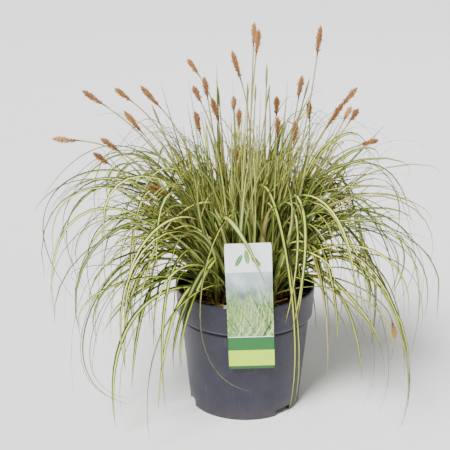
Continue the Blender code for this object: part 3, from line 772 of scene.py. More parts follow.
def new_piece(name, points, faces, material, slot, uv=None, smooth=True, **attributes):
    """A mesh object from point rows and a list of (faces, corners) index tables, riding on the root.

    Each further keyword is a value per point, kept under that name for the material to read.
    """
    mesh = bpy.data.meshes.new(name)
    points = np.asarray(points, np.float32).reshape(-1, 3)
    tables = [np.asarray(table, np.int32) for table in faces if len(table)]
    loops = np.concatenate([table.ravel() for table in tables])
    sizes = np.concatenate([np.full(len(table), table.shape[1], np.int32) for table in tables])
    mesh.vertices.add(len(points))
    mesh.vertices.foreach_set("co", points.ravel())
    mesh.loops.add(len(loops))
    mesh.loops.foreach_set("vertex_index", loops)
    mesh.polygons.add(len(sizes))
    mesh.polygons.foreach_set("loop_start", np.concatenate([[0], np.cumsum(sizes)[:-1]]).astype(np.int32))
    mesh.update(calc_edges=True)
    mesh.polygons.foreach_set("use_smooth", np.full(len(sizes), smooth))
    if uv is not None:
        layer = mesh.uv_layers.new(name="UVMap")
        layer.data.foreach_set("uv", np.asarray(uv, np.float32).reshape(-1, 2)[loops].ravel())
    for key, values in attributes.items():
        layer = mesh.attributes.new(key, "FLOAT", "POINT")
        layer.data.foreach_set("value", np.asarray(values, np.float32).ravel())
    if mesh.validate():
        raise RuntimeError(f"{name} has a face or an edge that isn't valid")
    obj = bpy.data.objects.new(name, mesh)
    bpy.context.scene.collection.objects.link(obj)
    mesh.materials.append(material)
    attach(obj, "root")
    return obj


def tube_faces(count, rings, sides):
    """Index tables of count closed tubes of rings times sides points: side quads, then two end caps."""
    ring, side = np.meshgrid(np.arange(rings - 1), np.arange(sides), indexing="ij")
    here = ring * sides + side
    across = ring * sides + (side + 1) % sides
    quads = np.stack([here, across, across + sides, here + sides], -1).reshape(-1, 4)
    caps = np.stack([np.arange(sides)[::-1], (rings - 1) * sides + np.arange(sides)])
    first = np.arange(count)[:, None, None] * rings * sides
    return [(quads + first).reshape(-1, 4), (caps + first).reshape(-1, sides)]


# A leaf's section, as shares of its half width across and of its channel's depth down: a shallow V.
LEAF_V = np.array([(1, 0), (0.5, 0.55), (0, 1), (-0.5, 0.55), (-1, 0)])


def full_taper(t):
    """The dressed leaf's share of its full width: it holds its width longer than the faceted one."""
    return (0.6 + 0.4 * np.minimum(1, t / 0.25)) * (1 - np.clip((t - 0.3) / 0.7, 0, 1) ** 2.4)


def leaf_surface(strands, rings, widen, thickness, channel=0.32):
    """Points, UV and per-point along of leaves: a channelled section carried along each leaf's curve.

    The section is a shallow V across the leaf, in shares of the half width: each half falls from
    the edge to the midrib by channel times the half width. The underside is the same V a thickness
    lower. Its width is widen times the leaf's own and follows full_taper of the share of the length.
    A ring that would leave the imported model's box is moved back to its side.
    """
    points, uvs = [], []
    low, high = np.array(CAD_BOX)
    across, fall = np.concatenate([LEAF_V, LEAF_V[::-1]]).T
    under_side = np.repeat([0.0, 1.0], len(LEAF_V))
    for strand in strands:
        fine = strand.redrawn(strand.corners, rings - 1)
        width = np.maximum(widen * fine.full_width * full_taper(fine.share), TIP_HALF_WIDTH)
        width = width[:, None, None]
        side = fine.across[:, None] * across[None, :, None] * width
        lower = fine.under[:, None] * (
            fall[None, :, None] * channel * width + under_side[None, :, None] * thickness
        )
        rows = fine.points[:, None] + side + lower
        over = np.maximum(rows.max(1) - high, 0) - np.maximum(low - rows.min(1), 0)
        points.append(rows - over[:, None])
        uvs.append(np.stack(np.broadcast_arrays((across[None] + 1) / 2, fine.share[:, None]), -1))
    return np.array(points), np.array(uvs), under_side


def make_leaf_piece(name, groups, material, rng, settings):
    """One mesh of several groups of (strands, rings, ages), each group's leaves cut into its rings.

    Every point holds its leaf's tone, how dried the leaf is, and whether it is on the underside.
    """
    points, uvs, tones, ages, backs, faces = [], [], [], [], [], []
    start = 0
    for strands, rings, age in groups:
        if not strands:
            continue
        p, uv, under_side = leaf_surface(strands, rings, settings.width, settings.thickness)
        count, _, sides = p.shape[:3]
        tone = np.array([rng.random() for _ in strands])
        faces.append([table + start for table in tube_faces(count, rings, sides)])
        start += count * rings * sides
        points.append(p.reshape(-1, 3))
        uvs.append(uv.reshape(-1, 2))
        tones.append(np.broadcast_to(tone[:, None, None], p.shape[:3]).ravel())
        ages.append(np.broadcast_to(np.asarray(age, float)[:, None, None], p.shape[:3]).ravel())
        backs.append(np.broadcast_to(under_side[None, None], p.shape[:3]).ravel())
    return new_piece(
        name,
        np.concatenate(points),
        [table for tables in faces for table in tables],
        material,
        "leaf",
        uv=np.concatenate(uvs),
        tone=np.concatenate(tones),
        age=np.concatenate(ages),
        back=np.concatenate(backs),
    )


def leaf_finish(settings):
    """Cream middle stripe between green margins, fine veins, dull backs, and dry tips and old leaves."""
    look = Finish("variegated_leaf", roughness=0.42, Specular_IOR_Level=0.45)
    across, along = look.uv()
    tone, age, back = look.attribute("tone"), look.attribute("age"), look.attribute("back")
    edge = abs(across * 2 - 1)
    wander = look.noise(look.vector(tone * 37, along * 5, tone * 11), 1.0)
    half = 0.30 + (tone * 7.3).fract() * 0.24 + (wander - 0.5) * 0.16
    margin = look.step(edge, half - 0.05, half + 0.05)
    threads = look.noise(look.vector(across * 9 + tone * 50, along * 1.2, tone * 5), 3.0, 1.0)
    line = look.step(threads, 0.56, 0.66) * (1 - margin) * 0.5
    plain = look.step((tone * 13.7).fract(), 0.78, 0.88)
    cream = look.mix((tone * 3.1).fract(), tuple(settings.stripe_colour), linear(208, 218, 84))
    green = look.mix((tone * 5.7).fract(), tuple(settings.margin_colour), linear(58, 84, 20))
    green = look.mix(look.noise(look.vector(tone * 20, along * 3, 0.5), 1.5), green, linear(40, 64, 12))
    colour = look.mix(margin, cream, green)
    colour = look.mix(line, colour, green)
    colour = look.mix(plain * 0.7, colour, green)
    dull = look.mix(margin * 0.7, linear(178, 184, 108), linear(84, 104, 46))
    colour = look.mix(back * 0.6, colour, dull)
    foot = 1 - look.step(along + (wander - 0.5) * 0.05, 0.03, 0.15)
    colour = look.mix(foot * 0.75, colour, linear(128, 98, 52))
    tip = look.step(along + (tone * 17.1).fract() * 0.05, 0.97, 1.02)
    colour = look.mix(tip * 0.8, colour, linear(120, 84, 48))
    straw = look.mix(
        look.noise(look.vector(across * 3 + tone * 9, along * 6, tone), 2.0),
        linear(206, 182, 120),
        linear(150, 112, 62),
    )
    colour = look.mix(age, colour, straw)
    look.wire(Base_Color=colour)
    look.bump((across * 75).sine() * 0.5 + threads, 0.25, 0.0003)
    return look.material


def stalk_finish():
    """Green flower stalks, paler upwards, with faint ribs."""
    look = Finish("flower_stalk", roughness=0.5)
    across, along = look.uv()
    tone = look.attribute("tone")
    ribs = (across * 38).sine()
    colour = look.mix(along, linear(112, 128, 52), linear(184, 180, 104))
    colour = look.mix(look.noise(look.vector(tone * 40, along * 8, 0), 2.0), colour, linear(150, 128, 74))
    colour = look.mix(ribs * 0.5 + 0.5, colour, look.mix(0.35, colour, linear(90, 104, 50)))
    look.wire(Base_Color=colour)
    look.bump(ribs, 0.2, 0.0002)
    return look.material


def head_finish(settings):
    """Tan florets, darker at the foot and paler at the tip, with pale flecks painted as highlights, and
    some heads browner than others.
    """
    look = Finish("flower_head", roughness=0.8, Sheen_Weight=0.25)
    share, along = look.uv()
    tone, pale = look.attribute("tone"), look.attribute("age")
    grain = look.noise(look.place(), 900.0, 2.0)
    colour = look.mix(along, linear(70, 42, 16), tuple(settings.floret_colour))
    # Painted highlights: pale flecks scattered over the florets by noise.
    colour = look.mix(look.step(grain, 0.45, 0.7) * 0.45, colour, linear(200, 140, 70))
    colour = look.mix(tone * 0.6, colour, linear(116, 70, 30))
    colour = look.mix(pale, colour, linear(214, 168, 102))
    colour = look.mix((1 - look.step(share, 0.0, 0.5)) * 0.65, colour, linear(84, 56, 26))
    look.wire(Base_Color=colour)
    return look.material


def tube_surface(strand, rings, sides, radius):
    """A round tube of rings times sides points about a strand's curve, radius given at each ring.

    A point is the curve's point plus radius times (across cos(turn) - under sin(turn)).
    """
    fine = Strand(strand.tuft, strand.corners, rings - 1, 1.0, 1.0, 0.0, np.ones_like)
    turn = np.arange(sides) * 2 * math.pi / sides
    ring = fine.across[:, None] * np.cos(turn)[None, :, None]
    ring = ring - fine.under[:, None] * np.sin(turn)[None, :, None]
    size = np.broadcast_to(np.asarray(radius, float), (rings,))[:, None, None]
    points = fine.points[:, None] + ring * size
    uv = np.stack(np.broadcast_arrays((turn / (2 * math.pi))[None], fine.share[:, None]), -1)
    return points, uv


def scatter(shape, faces, spots, axes):
    """Copies of a small shape: each point is carried to its spot along that copy's three axes."""
    points = np.einsum("pk,nkj->npj", shape, axes) + spots[:, None]
    first = np.arange(len(spots))[:, None, None] * len(shape)
    return points, [(np.asarray(faces)[None] + first).reshape(-1, len(faces[0]))]


# A floret: a foot, four points round its belly and a tip. A hair: a triangular rod that broadens towards
# its end and closes in a point.
FLORET_SHAPE = np.array(
    [(0, 0, 0), (0.5, 0.1, 0.45), (0, 0.55, 0.4), (-0.5, 0.1, 0.45), (0, -0.15, 0.5), (0, 0.25, 1.0)]
)
FLORET_FACES = (
    (0, 1, 2), (0, 2, 3), (0, 3, 4), (0, 4, 1), (5, 2, 1), (5, 3, 2), (5, 4, 3), (5, 1, 4)
)
HAIR_SHAPE = np.array([
    (1, 0, 0), (-0.5, 0.87, 0), (-0.5, -0.87, 0),
    (1.6, 0, 0.7), (-0.8, 1.4, 0.7), (-0.8, -1.4, 0.7), (0, 0, 1),
])
HAIR_WALLS = ((3, 4, 1, 0), (4, 5, 2, 1), (5, 3, 0, 2))
HAIR_ENDS = ((0, 1, 2), (6, 4, 3), (6, 5, 4), (6, 3, 5))


def head_axes(up, turn, lean, length, width, depth):
    """The way outwards, and rows across, outwards and along, for things that lean out of an axis."""
    helper = np.array([0.0, 1.0, 0.0]) if abs(up[1]) < 0.9 else np.array([1.0, 0.0, 0.0])
    east = np.cross(up, helper)
    east /= np.linalg.norm(east)
    north = np.cross(up, east)
    out = np.cos(turn)[:, None] * east + np.sin(turn)[:, None] * north
    side = np.cross(up, out)
    along = np.cos(lean)[:, None] * up + np.sin(lean)[:, None] * out
    away = np.cos(lean)[:, None] * out - np.sin(lean)[:, None] * up
    return out, np.stack(
        [side * width[:, None], away * depth[:, None], along * length[:, None]], 1
    )


def girth(share):
    """A head's share of its full radius: the sine of pi times share to the power 1.6, to the power 0.9.

    It is thin at the foot, widest past the middle and pointed at the tip.
    """
    return np.sin(math.pi * np.clip(share, 0, 1) ** 1.6) ** 0.9


def head_florets(index, foot, up, length, rng):
    """Overlapping florets in a spiral: floret i of n is turned by i golden angles.

    It starts at the share -0.26 + 1.16 (i + 0.5) / n of the length less 5 mm. How far it leans, how
    long it is and how far off the axis it starts all grow with the girth there.
    """
    count = int(FLORETS * length / USUAL_HEAD)
    share = -0.26 + 1.16 * (np.arange(count) + 0.5) / count
    turn = np.arange(count) * GOLDEN_ANGLE + index
    size = girth(share)
    lean = 0.08 + np.array([rng.uniform(0.05, 0.60) for _ in range(count)]) * size
    long = np.array([rng.uniform(0.0048, 0.0080) for _ in range(count)]) * (0.6 + 0.4 * size)
    width, depth = 0.0008 + 0.0013 * size, 0.0006 + 0.0011 * size
    out, axes = head_axes(up, turn, lean, long, width, depth)
    spots = foot + up * (share * (length - 0.005))[:, None] + out * (0.0004 + 0.0009 * size)[:, None]
    florets, faces = scatter(FLORET_SHAPE, FLORET_FACES, spots, axes)
    tone = rng.random()
    pale = rng.uniform(0, 0.25) + (0.45 if index in PALE_HEADS else 0)
    floret_tone = np.clip([tone + rng.gauss(0, 0.3) for _ in range(count)], 0, 1)
    corners = len(FLORET_SHAPE)
    along = np.tile(FLORET_SHAPE[:, 2], count)
    return florets, faces, np.repeat(share, corners), along, np.repeat(floret_tone, corners), pale


def head_anthers(foot, up, length, fringe, pale, rng):
    """Filaments with anthers, more on one side: each reaches about fringe, and less near the tip."""
    count = int(ANTHERS * length / USUAL_HEAD)
    share = np.array([rng.uniform(0.10, 0.95) for _ in range(count)])
    ragged = rng.uniform(0, 2 * math.pi)
    turn = np.array([rng.gauss(ragged, 1.5) for _ in range(count)])
    near_tip = np.clip((share - 0.6) / 0.35, 0, 1)
    reach = fringe * np.array([rng.uniform(0.5, 1.3) for _ in range(count)]) * (1 - 0.35 * near_tip)
    lean = np.array([rng.uniform(0.3, 1.3) for _ in range(count)]) * (1 - 0.65 * near_tip)
    thick = np.full(count, HAIR_RADIUS)
    out, axes = head_axes(up, turn, lean, reach, thick, thick)
    spots = foot + up * (share * (length - 0.003))[:, None] + out * (0.0018 * girth(share))[:, None]
    hairs, walls = scatter(HAIR_SHAPE, HAIR_WALLS, spots, axes)
    _, ends = scatter(HAIR_SHAPE, HAIR_ENDS, spots, axes)
    corners = len(HAIR_SHAPE)
    along, tone = np.full(count * corners, 1.0), np.full(count * corners, 0.1)
    return hairs, [*walls, *ends], np.repeat(share, corners), along, tone, min(1, pale + 0.3)


def head_core(foot, up, length):
    """A round core along the head, of radius 0.9 mm plus 1.3 mm times girth less 0.6 mm times share."""
    rings, sides = Fine.CORE_RINGS, Fine.CORE_SIDES
    corners = [foot + up * length * share for share in (-0.05, 0.3, 0.6, 0.97)]
    spine = Strand(-1, corners, 1, 1.0, 1.0, 0.0, np.ones_like)
    share = np.linspace(0, 1, rings)
    core, _ = tube_surface(spine, rings, sides, 0.0009 + 0.0013 * girth(share) - 0.0006 * share)
    total = rings * sides
    along, tone = np.full(total, 0.0), np.full(total, 0.9)
    return core, tube_faces(1, rings, sides), np.repeat(share, sides), along, tone, 0.0


def make_head(index, foot, up, length, material, rng, fringe):
    """Overlapping florets in a spiral, filaments with anthers that stand out of them, and a core."""
    florets = head_florets(index, foot, up, length, rng)
    anthers = head_anthers(foot, up, length, fringe, florets[5], rng)
    parts = (florets, anthers, head_core(foot, up, length))
    points = [part[0].reshape(-1, 3) for part in parts]
    starts = np.cumsum([0] + [len(p) for p in points])
    faces = [table + start for part, start in zip(parts, starts) for table in part[1]]
    share, along, tones = (np.concatenate([part[k] for part in parts]) for k in (2, 3, 4))
    pales = np.concatenate([np.full(len(p), part[5]) for p, part in zip(points, parts)])
    piece = new_piece(
        f"head_{index:02d}", np.concatenate(points), faces, material, "flower_head",
        uv=np.stack([share, along], -1), smooth=False, tone=tones, age=pales,
    )
    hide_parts(f"flower_head_{index:02d}")
    return piece


def pot_finish(settings):
    """Moulded plastic: satin, mottled, scuffed along its height and dusty towards the foot.

    The collar's lower edge is painted pale, partly as wear and partly as a painted highlight, and the step
    under it is painted dark as painted shade.
    """
    look = Finish("pot_plastic", roughness=0.45, Specular_IOR_Level=0.4)
    place = look.place()
    axes = look.add("ShaderNodeSeparateXYZ", None, Vector=place)
    height = look.out(axes, 2)
    mottle = look.noise(place, 34.0, 5.0, 0.6)
    tall = look.add("ShaderNodeMapping", None, Vector=place)
    tall.inputs["Scale"].default_value = (1, 1, 0.12)
    scuffs = look.noise(look.out(tall), 260.0, 3.0, 0.6)
    grain = look.noise(place, 2600.0, 1.0)
    base = tuple(settings.colour)
    pale = linear(66, 64, 76)
    colour = look.mix(look.step(mottle, 0.35, 0.75) * 0.35, base, pale)
    colour = look.mix(look.step(scuffs, 0.60, 0.72) * 0.22, colour, linear(92, 91, 98))
    dust = look.step(height * -1, -0.03, 0.0) * look.noise(place, 90.0, 3.0)
    colour = look.mix(dust * 0.35, colour, linear(96, 88, 76))
    edge = POT_HEIGHT - COLLAR_DEPTH
    # A pale band on the collar's lower edge: partly wear, partly a painted highlight.
    lip = look.step(height, edge - 0.0006, edge) * (1 - look.step(height, edge + 0.0012, edge + 0.0030))
    colour = look.mix(lip * (0.1 + scuffs * 0.3), colour, tuple(settings.edge_wear_and_highlight_colour))
    # Painted shade: a near-black band in the step under the collar, where its shadow falls.
    under = 1 - look.step(height, edge - 0.0008, edge - 0.0005)
    painted_crease_shade = look.step(height, edge - 0.0075, edge - 0.0038) * under
    colour = look.mix(painted_crease_shade * 0.95, colour, linear(4, 4, 4))
    look.wire(Base_Color=colour, Roughness=0.36 + mottle * 0.16 + scuffs * 0.06 + painted_crease_shade * 0.4)
    look.bump(grain * 0.4 + mottle * 0.6, 0.18, 0.0004)
    return look.material


def pot_section():
    """The pot's section as (radius, height), from the middle of its floor over the rim to underneath."""
    floor, collar, top = CHANNEL_HEIGHT + WALL, POT_HEIGHT - COLLAR_DEPTH, POT_HEIGHT
    inside = [
        (0.0, WALL), (PAD_RADIUS - WALL, WALL), (0.0312, 0.0040), (0.0318, floor), (0.0700, floor),
        (FOOT_RADIUS - WALL, 0.0138), (0.0737, 0.0150), (0.0792, 0.0700), (0.0848, 0.1210),
        (0.0854, 0.1236), (0.0895, collar - 0.0002), (0.0903, collar + 0.0012), (0.0909, 0.1500),
    ]
    lip = [
        (0.0914, top - 0.0028), (0.0918, top - 0.0010), (0.0925, top - 0.0002), (0.0936, top),
        (0.0945, top - 0.0003), (RIM_RADIUS, top - 0.0012), (RIM_RADIUS, top - 0.0020),
    ]
    outside = [
        (0.0945, 0.1600), (0.0935, 0.1440), (COLLAR_FOOT_RADIUS, collar + 0.0009),
        (0.0924, collar + 0.0001), (0.0916, collar - 0.0004), (0.0889, collar - 0.0012),
        (0.0881, 0.1276), (0.0877, 0.1240), (0.0845, 0.0900), (0.0800, 0.0450), (0.0777, 0.0210),
    ]
    foot = [
        (0.0770, 0.0140), (0.0763, 0.0080), (0.0758, 0.0030), (FOOT_RADIUS, 0.0006),
        (0.0751, 0.0), (0.0729, 0.0), (0.0726, 0.0004), (0.0726, 0.0090), (0.0722, CHANNEL_HEIGHT),
    ]
    pad = [
        (0.0345, CHANNEL_HEIGHT), (0.0326, 0.0100), (PAD_RADIUS, 0.0006), (0.0314, 0.0), (0.0, 0.0),
    ]
    return np.array(inside + lip + outside + foot + pad)


def bearing_gap(turns, others):
    """How far each of turns is from the nearest of others, in radians."""
    gaps = np.abs((turns[:, None] - others[None] + math.pi) % (2 * math.pi) - math.pi)
    return np.min(gaps, axis=1)


def make_pot(settings, material):
    """The pot's section turned about Z; near the floor its foot is lifted into three notches.

    In a notch the foot's lowest points rise to the notch's height, and those between there and the
    height where the lift ends are spread over the rest. A notch's upper corners are rounded by a
    quarter circle.
    """
    foot_inside, lift_end, notch_corner, clear = 0.0725, 0.020, 0.004, 0.02
    radius, height = pot_section().T
    turns = np.arange(Fine.POT_TURNS) * 2 * math.pi / Fine.POT_TURNS
    spread = np.linspace(-1.02, 1.02, Fine.NOTCH_TURNS) * NOTCH_WIDTH / 2 / FOOT_RADIUS
    edges = np.concatenate([math.radians(bearing) + spread for bearing in NOTCH_BEARINGS])
    plain = turns[bearing_gap(turns, edges) > clear]
    turns = np.sort(np.concatenate([plain, edges % (2 * math.pi)]))
    away = bearing_gap(turns, np.radians(NOTCH_BEARINGS)) * FOOT_RADIUS
    corner = np.clip((away - (NOTCH_WIDTH / 2 - notch_corner)) / notch_corner, 0, 1)
    arch = NOTCH_HEIGHT - notch_corner * (1 - np.sqrt(1 - corner**2))
    lift = np.where(away <= NOTCH_WIDTH / 2, arch, 0)[:, None]
    foot = (radius > foot_inside) & (height < lift_end)
    rise = np.where(foot[None], lift + height * (lift_end - lift) / lift_end, height[None])
    x, y = radius[None] * np.cos(turns)[:, None], radius[None] * np.sin(turns)[:, None]
    grid = np.stack([x, y, rise], -1)[:, 1:-1]
    count, rows = grid.shape[:2]
    turn, row = np.meshgrid(np.arange(count), np.arange(rows - 1), indexing="ij")
    here, there = turn * rows + row, (turn + 1) % count * rows + row
    quads = np.stack([here, here + 1, there + 1, there], -1).reshape(-1, 4)
    ends = count * rows + np.arange(2)
    first = np.arange(count) * rows
    after = (np.arange(count) + 1) % count * rows
    floor = np.stack([first, after, np.full(count, ends[0])], -1)
    under = np.stack([after + rows - 1, first + rows - 1, np.full(count, ends[1])], -1)
    points = np.concatenate([grid.reshape(-1, 3), [(0, 0, height[0]), (0, 0, height[-1])]])
    piece = new_piece("pot_shell", points, [quads, floor, under], material, "pot_plastic")
    piece.data.set_sharp_from_angle(angle=math.radians(40))
    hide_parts("pot")
    return piece


def lattice_noise(x, y, seed):
    """Smooth noise from -1 to 1: random heights at whole-number points, blended between them."""
    table = np.random.default_rng(seed).uniform(-1, 1, (64, 64))
    column, row = np.floor(x).astype(int), np.floor(y).astype(int)
    u, v = x - column, y - row
    u, v = u * u * (3 - 2 * u), v * v * (3 - 2 * v)

    def at(i, j):
        return table[(column + i) % 64, (row + j) % 64]

    return (at(0, 0) * (1 - u) + at(1, 0) * u) * (1 - v) + (at(0, 1) * (1 - u) + at(1, 1) * u) * v


def rough_soil(x, y):
    """The soil's height: the dome of the solid, with crumbs at three sizes."""
    radius = np.hypot(x, y)
    height = SOIL_LEVEL + SOIL_DOME * (1 - (radius / BODY_TOP_RADIUS) ** 2)
    for size, lift in ((0.022, 0.0016), (0.0075, 0.0011), (0.003, 0.0007)):
        height = height + lift * lattice_noise(x / size + 40, y / size + 40, Fine.SOIL_SEED)
    return height


def soil_finish(settings):
    """Dark damp peat with reddish bark and pale fibres."""
    look = Finish("potting_soil", roughness=0.95, Specular_IOR_Level=0.2)
    place = look.place()
    tone = look.attribute("tone")
    coarse, fine = look.noise(place, 120.0, 4.0, 0.7), look.noise(place, 700.0, 2.0)
    colour = look.mix(coarse, tuple(settings.dark_colour), tuple(settings.bark_colour))
    colour = look.mix(look.step(fine, 0.60, 0.70) * 0.5, colour, linear(112, 78, 52))
    colour = look.mix(tone, colour, linear(126, 74, 44))
    look.wire(Base_Color=colour)
    look.bump(coarse + fine * 0.5, 0.7, 0.001)
    return look.material


def make_soil(material):
    """A disc on a polar grid, its height rough_soil, closed by a wall and a flat floor below it.

    The rings lie at the edge's radius times the power 0.9 of their share, closer at the edge. The wall
    follows the inside of the pot, drawn in a little so that most of it stays clear.
    """
    rings, sides = Fine.SOIL_RINGS, Fine.SOIL_TURNS
    edge = RIM_RADIUS - RIM_LIP - 0.0018
    radius = edge * (1 - np.arange(rings) / rings) ** 0.9
    turn = np.arange(sides) * 2 * math.pi / sides
    x, y = radius[:, None] * np.cos(turn), radius[:, None] * np.sin(turn)
    top = np.stack([x, y, rough_soil(x, y)], -1)
    section = np.array(pot_inside()[3:6]) + (-5 * CLEARANCE, 3 * CLEARANCE)
    section = np.concatenate([[(PAD_RADIUS, CHANNEL_HEIGHT + WALL + 3 * CLEARANCE)], section])
    out, height = section[:, :1], np.repeat(section[:, 1:], sides, axis=1)
    wall = np.stack([out * np.cos(turn), out * np.sin(turn), height], -1)
    grid = np.concatenate([wall, top])
    rows = len(grid)
    quads = tube_faces(1, rows, sides)[0]
    last = (rows - 1) * sides
    i = np.arange(sides)
    caps = [
        np.stack([(i + 1) % sides, i, np.full(sides, rows * sides)], -1),
        np.stack([last + i, last + (i + 1) % sides, np.full(sides, rows * sides + 1)], -1),
    ]
    middle = [(0, 0, wall[0, 0, 2]), (0, 0, float(rough_soil(np.zeros(1), np.zeros(1))[0]))]
    points = np.concatenate([grid.reshape(-1, 3), middle])
    tone = np.zeros(len(points))
    piece = new_piece("soil_bed", points, [quads, *caps], material, "potting_soil", tone=tone)
    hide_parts("soil")
    return piece


# A crumb: three points below and three above, joined by eight faces.
CRUMB_SHAPE = np.array([
    (1, 0, -0.2), (-0.3, 0.9, -0.3), (-0.8, -0.6, -0.2),
    (0.3, 0.3, 0.8), (-0.5, 0.1, 0.6), (0.1, -0.9, 0.3),
])
CRUMB_FACES = (
    (0, 1, 3), (1, 4, 3), (1, 2, 4), (2, 5, 4), (4, 5, 3), (5, 0, 3), (0, 2, 1), (0, 5, 2)
)


def make_crumbs(material, rng):
    """Bark chips and crumbs lying on the soil: small eight-sided lumps, some long and flat.

    Each is CRUMB_SHAPE stretched along one level direction, turned by way and tipped by tilt.
    """
    radius = CRUMB_REACH * np.sqrt([rng.uniform(0.02, 1) for _ in range(CRUMBS)])
    turn = np.array([rng.uniform(0, 2 * math.pi) for _ in range(CRUMBS)])
    x, y = radius * np.cos(turn), radius * np.sin(turn)
    size = np.array([0.0006 + 0.0022 * rng.random() ** 2.5 for _ in range(CRUMBS)])
    stretch = np.array([rng.choice((1.0, 1.2, 1.6, 2.6)) for _ in range(CRUMBS)])
    way = np.array([rng.uniform(0, 2 * math.pi) for _ in range(CRUMBS)])
    tilt = np.array([rng.uniform(-0.5, 0.5) for _ in range(CRUMBS)])
    none, one = np.zeros(CRUMBS), np.ones(CRUMBS)
    long = np.stack([np.cos(way), np.sin(way), tilt], -1) * (size * stretch)[:, None]
    broad = np.stack([-np.sin(way), np.cos(way), none], -1) * (size * 0.8)[:, None]
    high = np.stack([-tilt * np.cos(way), -tilt * np.sin(way), one], -1) * (size * 0.7)[:, None]
    spots = np.stack([x, y, rough_soil(x, y) + size * 0.3], -1)
    points, faces = scatter(CRUMB_SHAPE, CRUMB_FACES, spots, np.stack([long, broad, high], 1))
    tone = np.repeat([rng.random() ** 1.5 for _ in range(CRUMBS)], len(CRUMB_SHAPE))
    return new_piece(
        "soil_crumbs", points.reshape(-1, 3), faces, material, "potting_soil", smooth=False, tone=tone
    )


def make_litter(material, rng, settings):
    """Dry leaf ends on the soil: each turns by half a radian on its way, at random heights up to 13 mm.

    A point past the reach of the litter is drawn in to it, so an end follows the pot's wall.
    """
    strands = []
    for _ in range(LITTER):
        turn = rng.uniform(0, 2 * math.pi)
        radius = rng.uniform(0.035, 0.080)
        way = turn + rng.uniform(0.5, 2.6) * rng.choice((-1, 1))
        length = rng.uniform(0.018, 0.05)
        points = []
        for share in (0, 0.33, 0.66, 1):
            x = radius * math.cos(turn) + length * share * math.cos(way + 0.5 * share)
            y = radius * math.sin(turn) + length * share * math.sin(way + 0.5 * share)
            over = max(1.0, math.hypot(x, y) / LITTER_REACH)
            height = SOIL_LEVEL + 0.0035 + rng.uniform(0, 0.005) * (1 + share)
            points.append((x / over, y / over, height))
        half_width, roll = rng.uniform(0.0006, 0.0016), rng.uniform(-2, 2)
        strands.append(Strand(0, points, 3, half_width, LEAF_KEEL, roll))
    ages = [rng.uniform(0.85, 1.0) for _ in strands]
    groups = [(strands, Fine.LITTER_RINGS, ages)]
    return make_leaf_piece("dry_litter", groups, material, rng, settings)


# The label's artwork: the card's width as a share of its height, how softly its fields end, and the
# heights of the fields as shares of the card's.
WIDTH_SHARE = 0.333
PRINT_EDGE = 0.004
MEADOW_TOP = 0.775
WHITE_LINE_TOP = 0.262
GREEN_TOP = 0.256
LIME_TOP = 0.150
DARK_TOP = 0.022


def print_meadow(look, across, up, colour):
    """Six rows of blades, far ones first, each row at its own slant, every blade narrowing to a point."""

    def blades(colour, slant, count, seed, base, spread, first, second):
        bend = (up * 6 + seed).sine() * 0.008
        place = (across * WIDTH_SHARE + (up - 0.26) * slant + bend) * count + seed * 3.1
        inside = place.fract()
        pick = (((place - inside) * 12.9898 + seed).sine() * 437.585).fract()
        wide = (base + pick * spread - up) * 1.8
        blade = look.step(wide.least(0.36) - abs(inside - 0.5), 0.0, 0.08)
        return look.mix(blade, colour, look.mix((pick * 7.7).fract(), first, second))

    for slant, count, seed, base, spread, first, second in (
        (0.20, 62, 1.0, 0.60, 0.18, linear(96, 148, 84), linear(184, 206, 176)),
        (-0.34, 52, 2.3, 0.56, 0.18, linear(42, 108, 28), linear(160, 196, 84)),
        (0.42, 46, 3.7, 0.52, 0.16, linear(14, 70, 12), linear(172, 206, 96)),
        (-0.12, 42, 5.1, 0.48, 0.18, linear(6, 50, 12), linear(190, 216, 140)),
        (0.60, 36, 6.9, 0.40, 0.16, linear(168, 204, 96), linear(40, 112, 18)),
        (-0.50, 32, 8.2, 0.36, 0.12, linear(206, 226, 180), linear(10, 64, 16)),
    ):
        colour = blades(colour, slant, count, seed, base, spread, first, second)
    return colour


def print_sprig(look, across, up, colour, white):
    """Three oval leaves, each an ellipse with a pale vein along its middle."""
    for x, y, length, width, angle, tint in (
        (0.30, 0.870, 0.050, 0.016, 62, linear(60, 134, 54)),
        (0.47, 0.895, 0.054, 0.017, 96, linear(98, 166, 60)),
        (0.66, 0.862, 0.048, 0.016, 128, linear(60, 134, 54)),
    ):
        turn = math.radians(angle)
        dx, dy = across * WIDTH_SHARE - x * WIDTH_SHARE, up - y
        along = dx * math.cos(turn) + dy * math.sin(turn)
        aside = dy * math.cos(turn) - dx * math.sin(turn)
        reach = (along * (1 / length)) ** 2.0 + (aside * (1 / width)) ** 2.0
        inside = 1 - look.step(reach, 0.9, 1.1)
        vein = look.step(abs(aside), 0.0008, 0.0016)
        leaf = look.mix(vein, look.mix(0.5, tint, white), tint)
        colour = look.mix(inside, colour, leaf)
    return colour


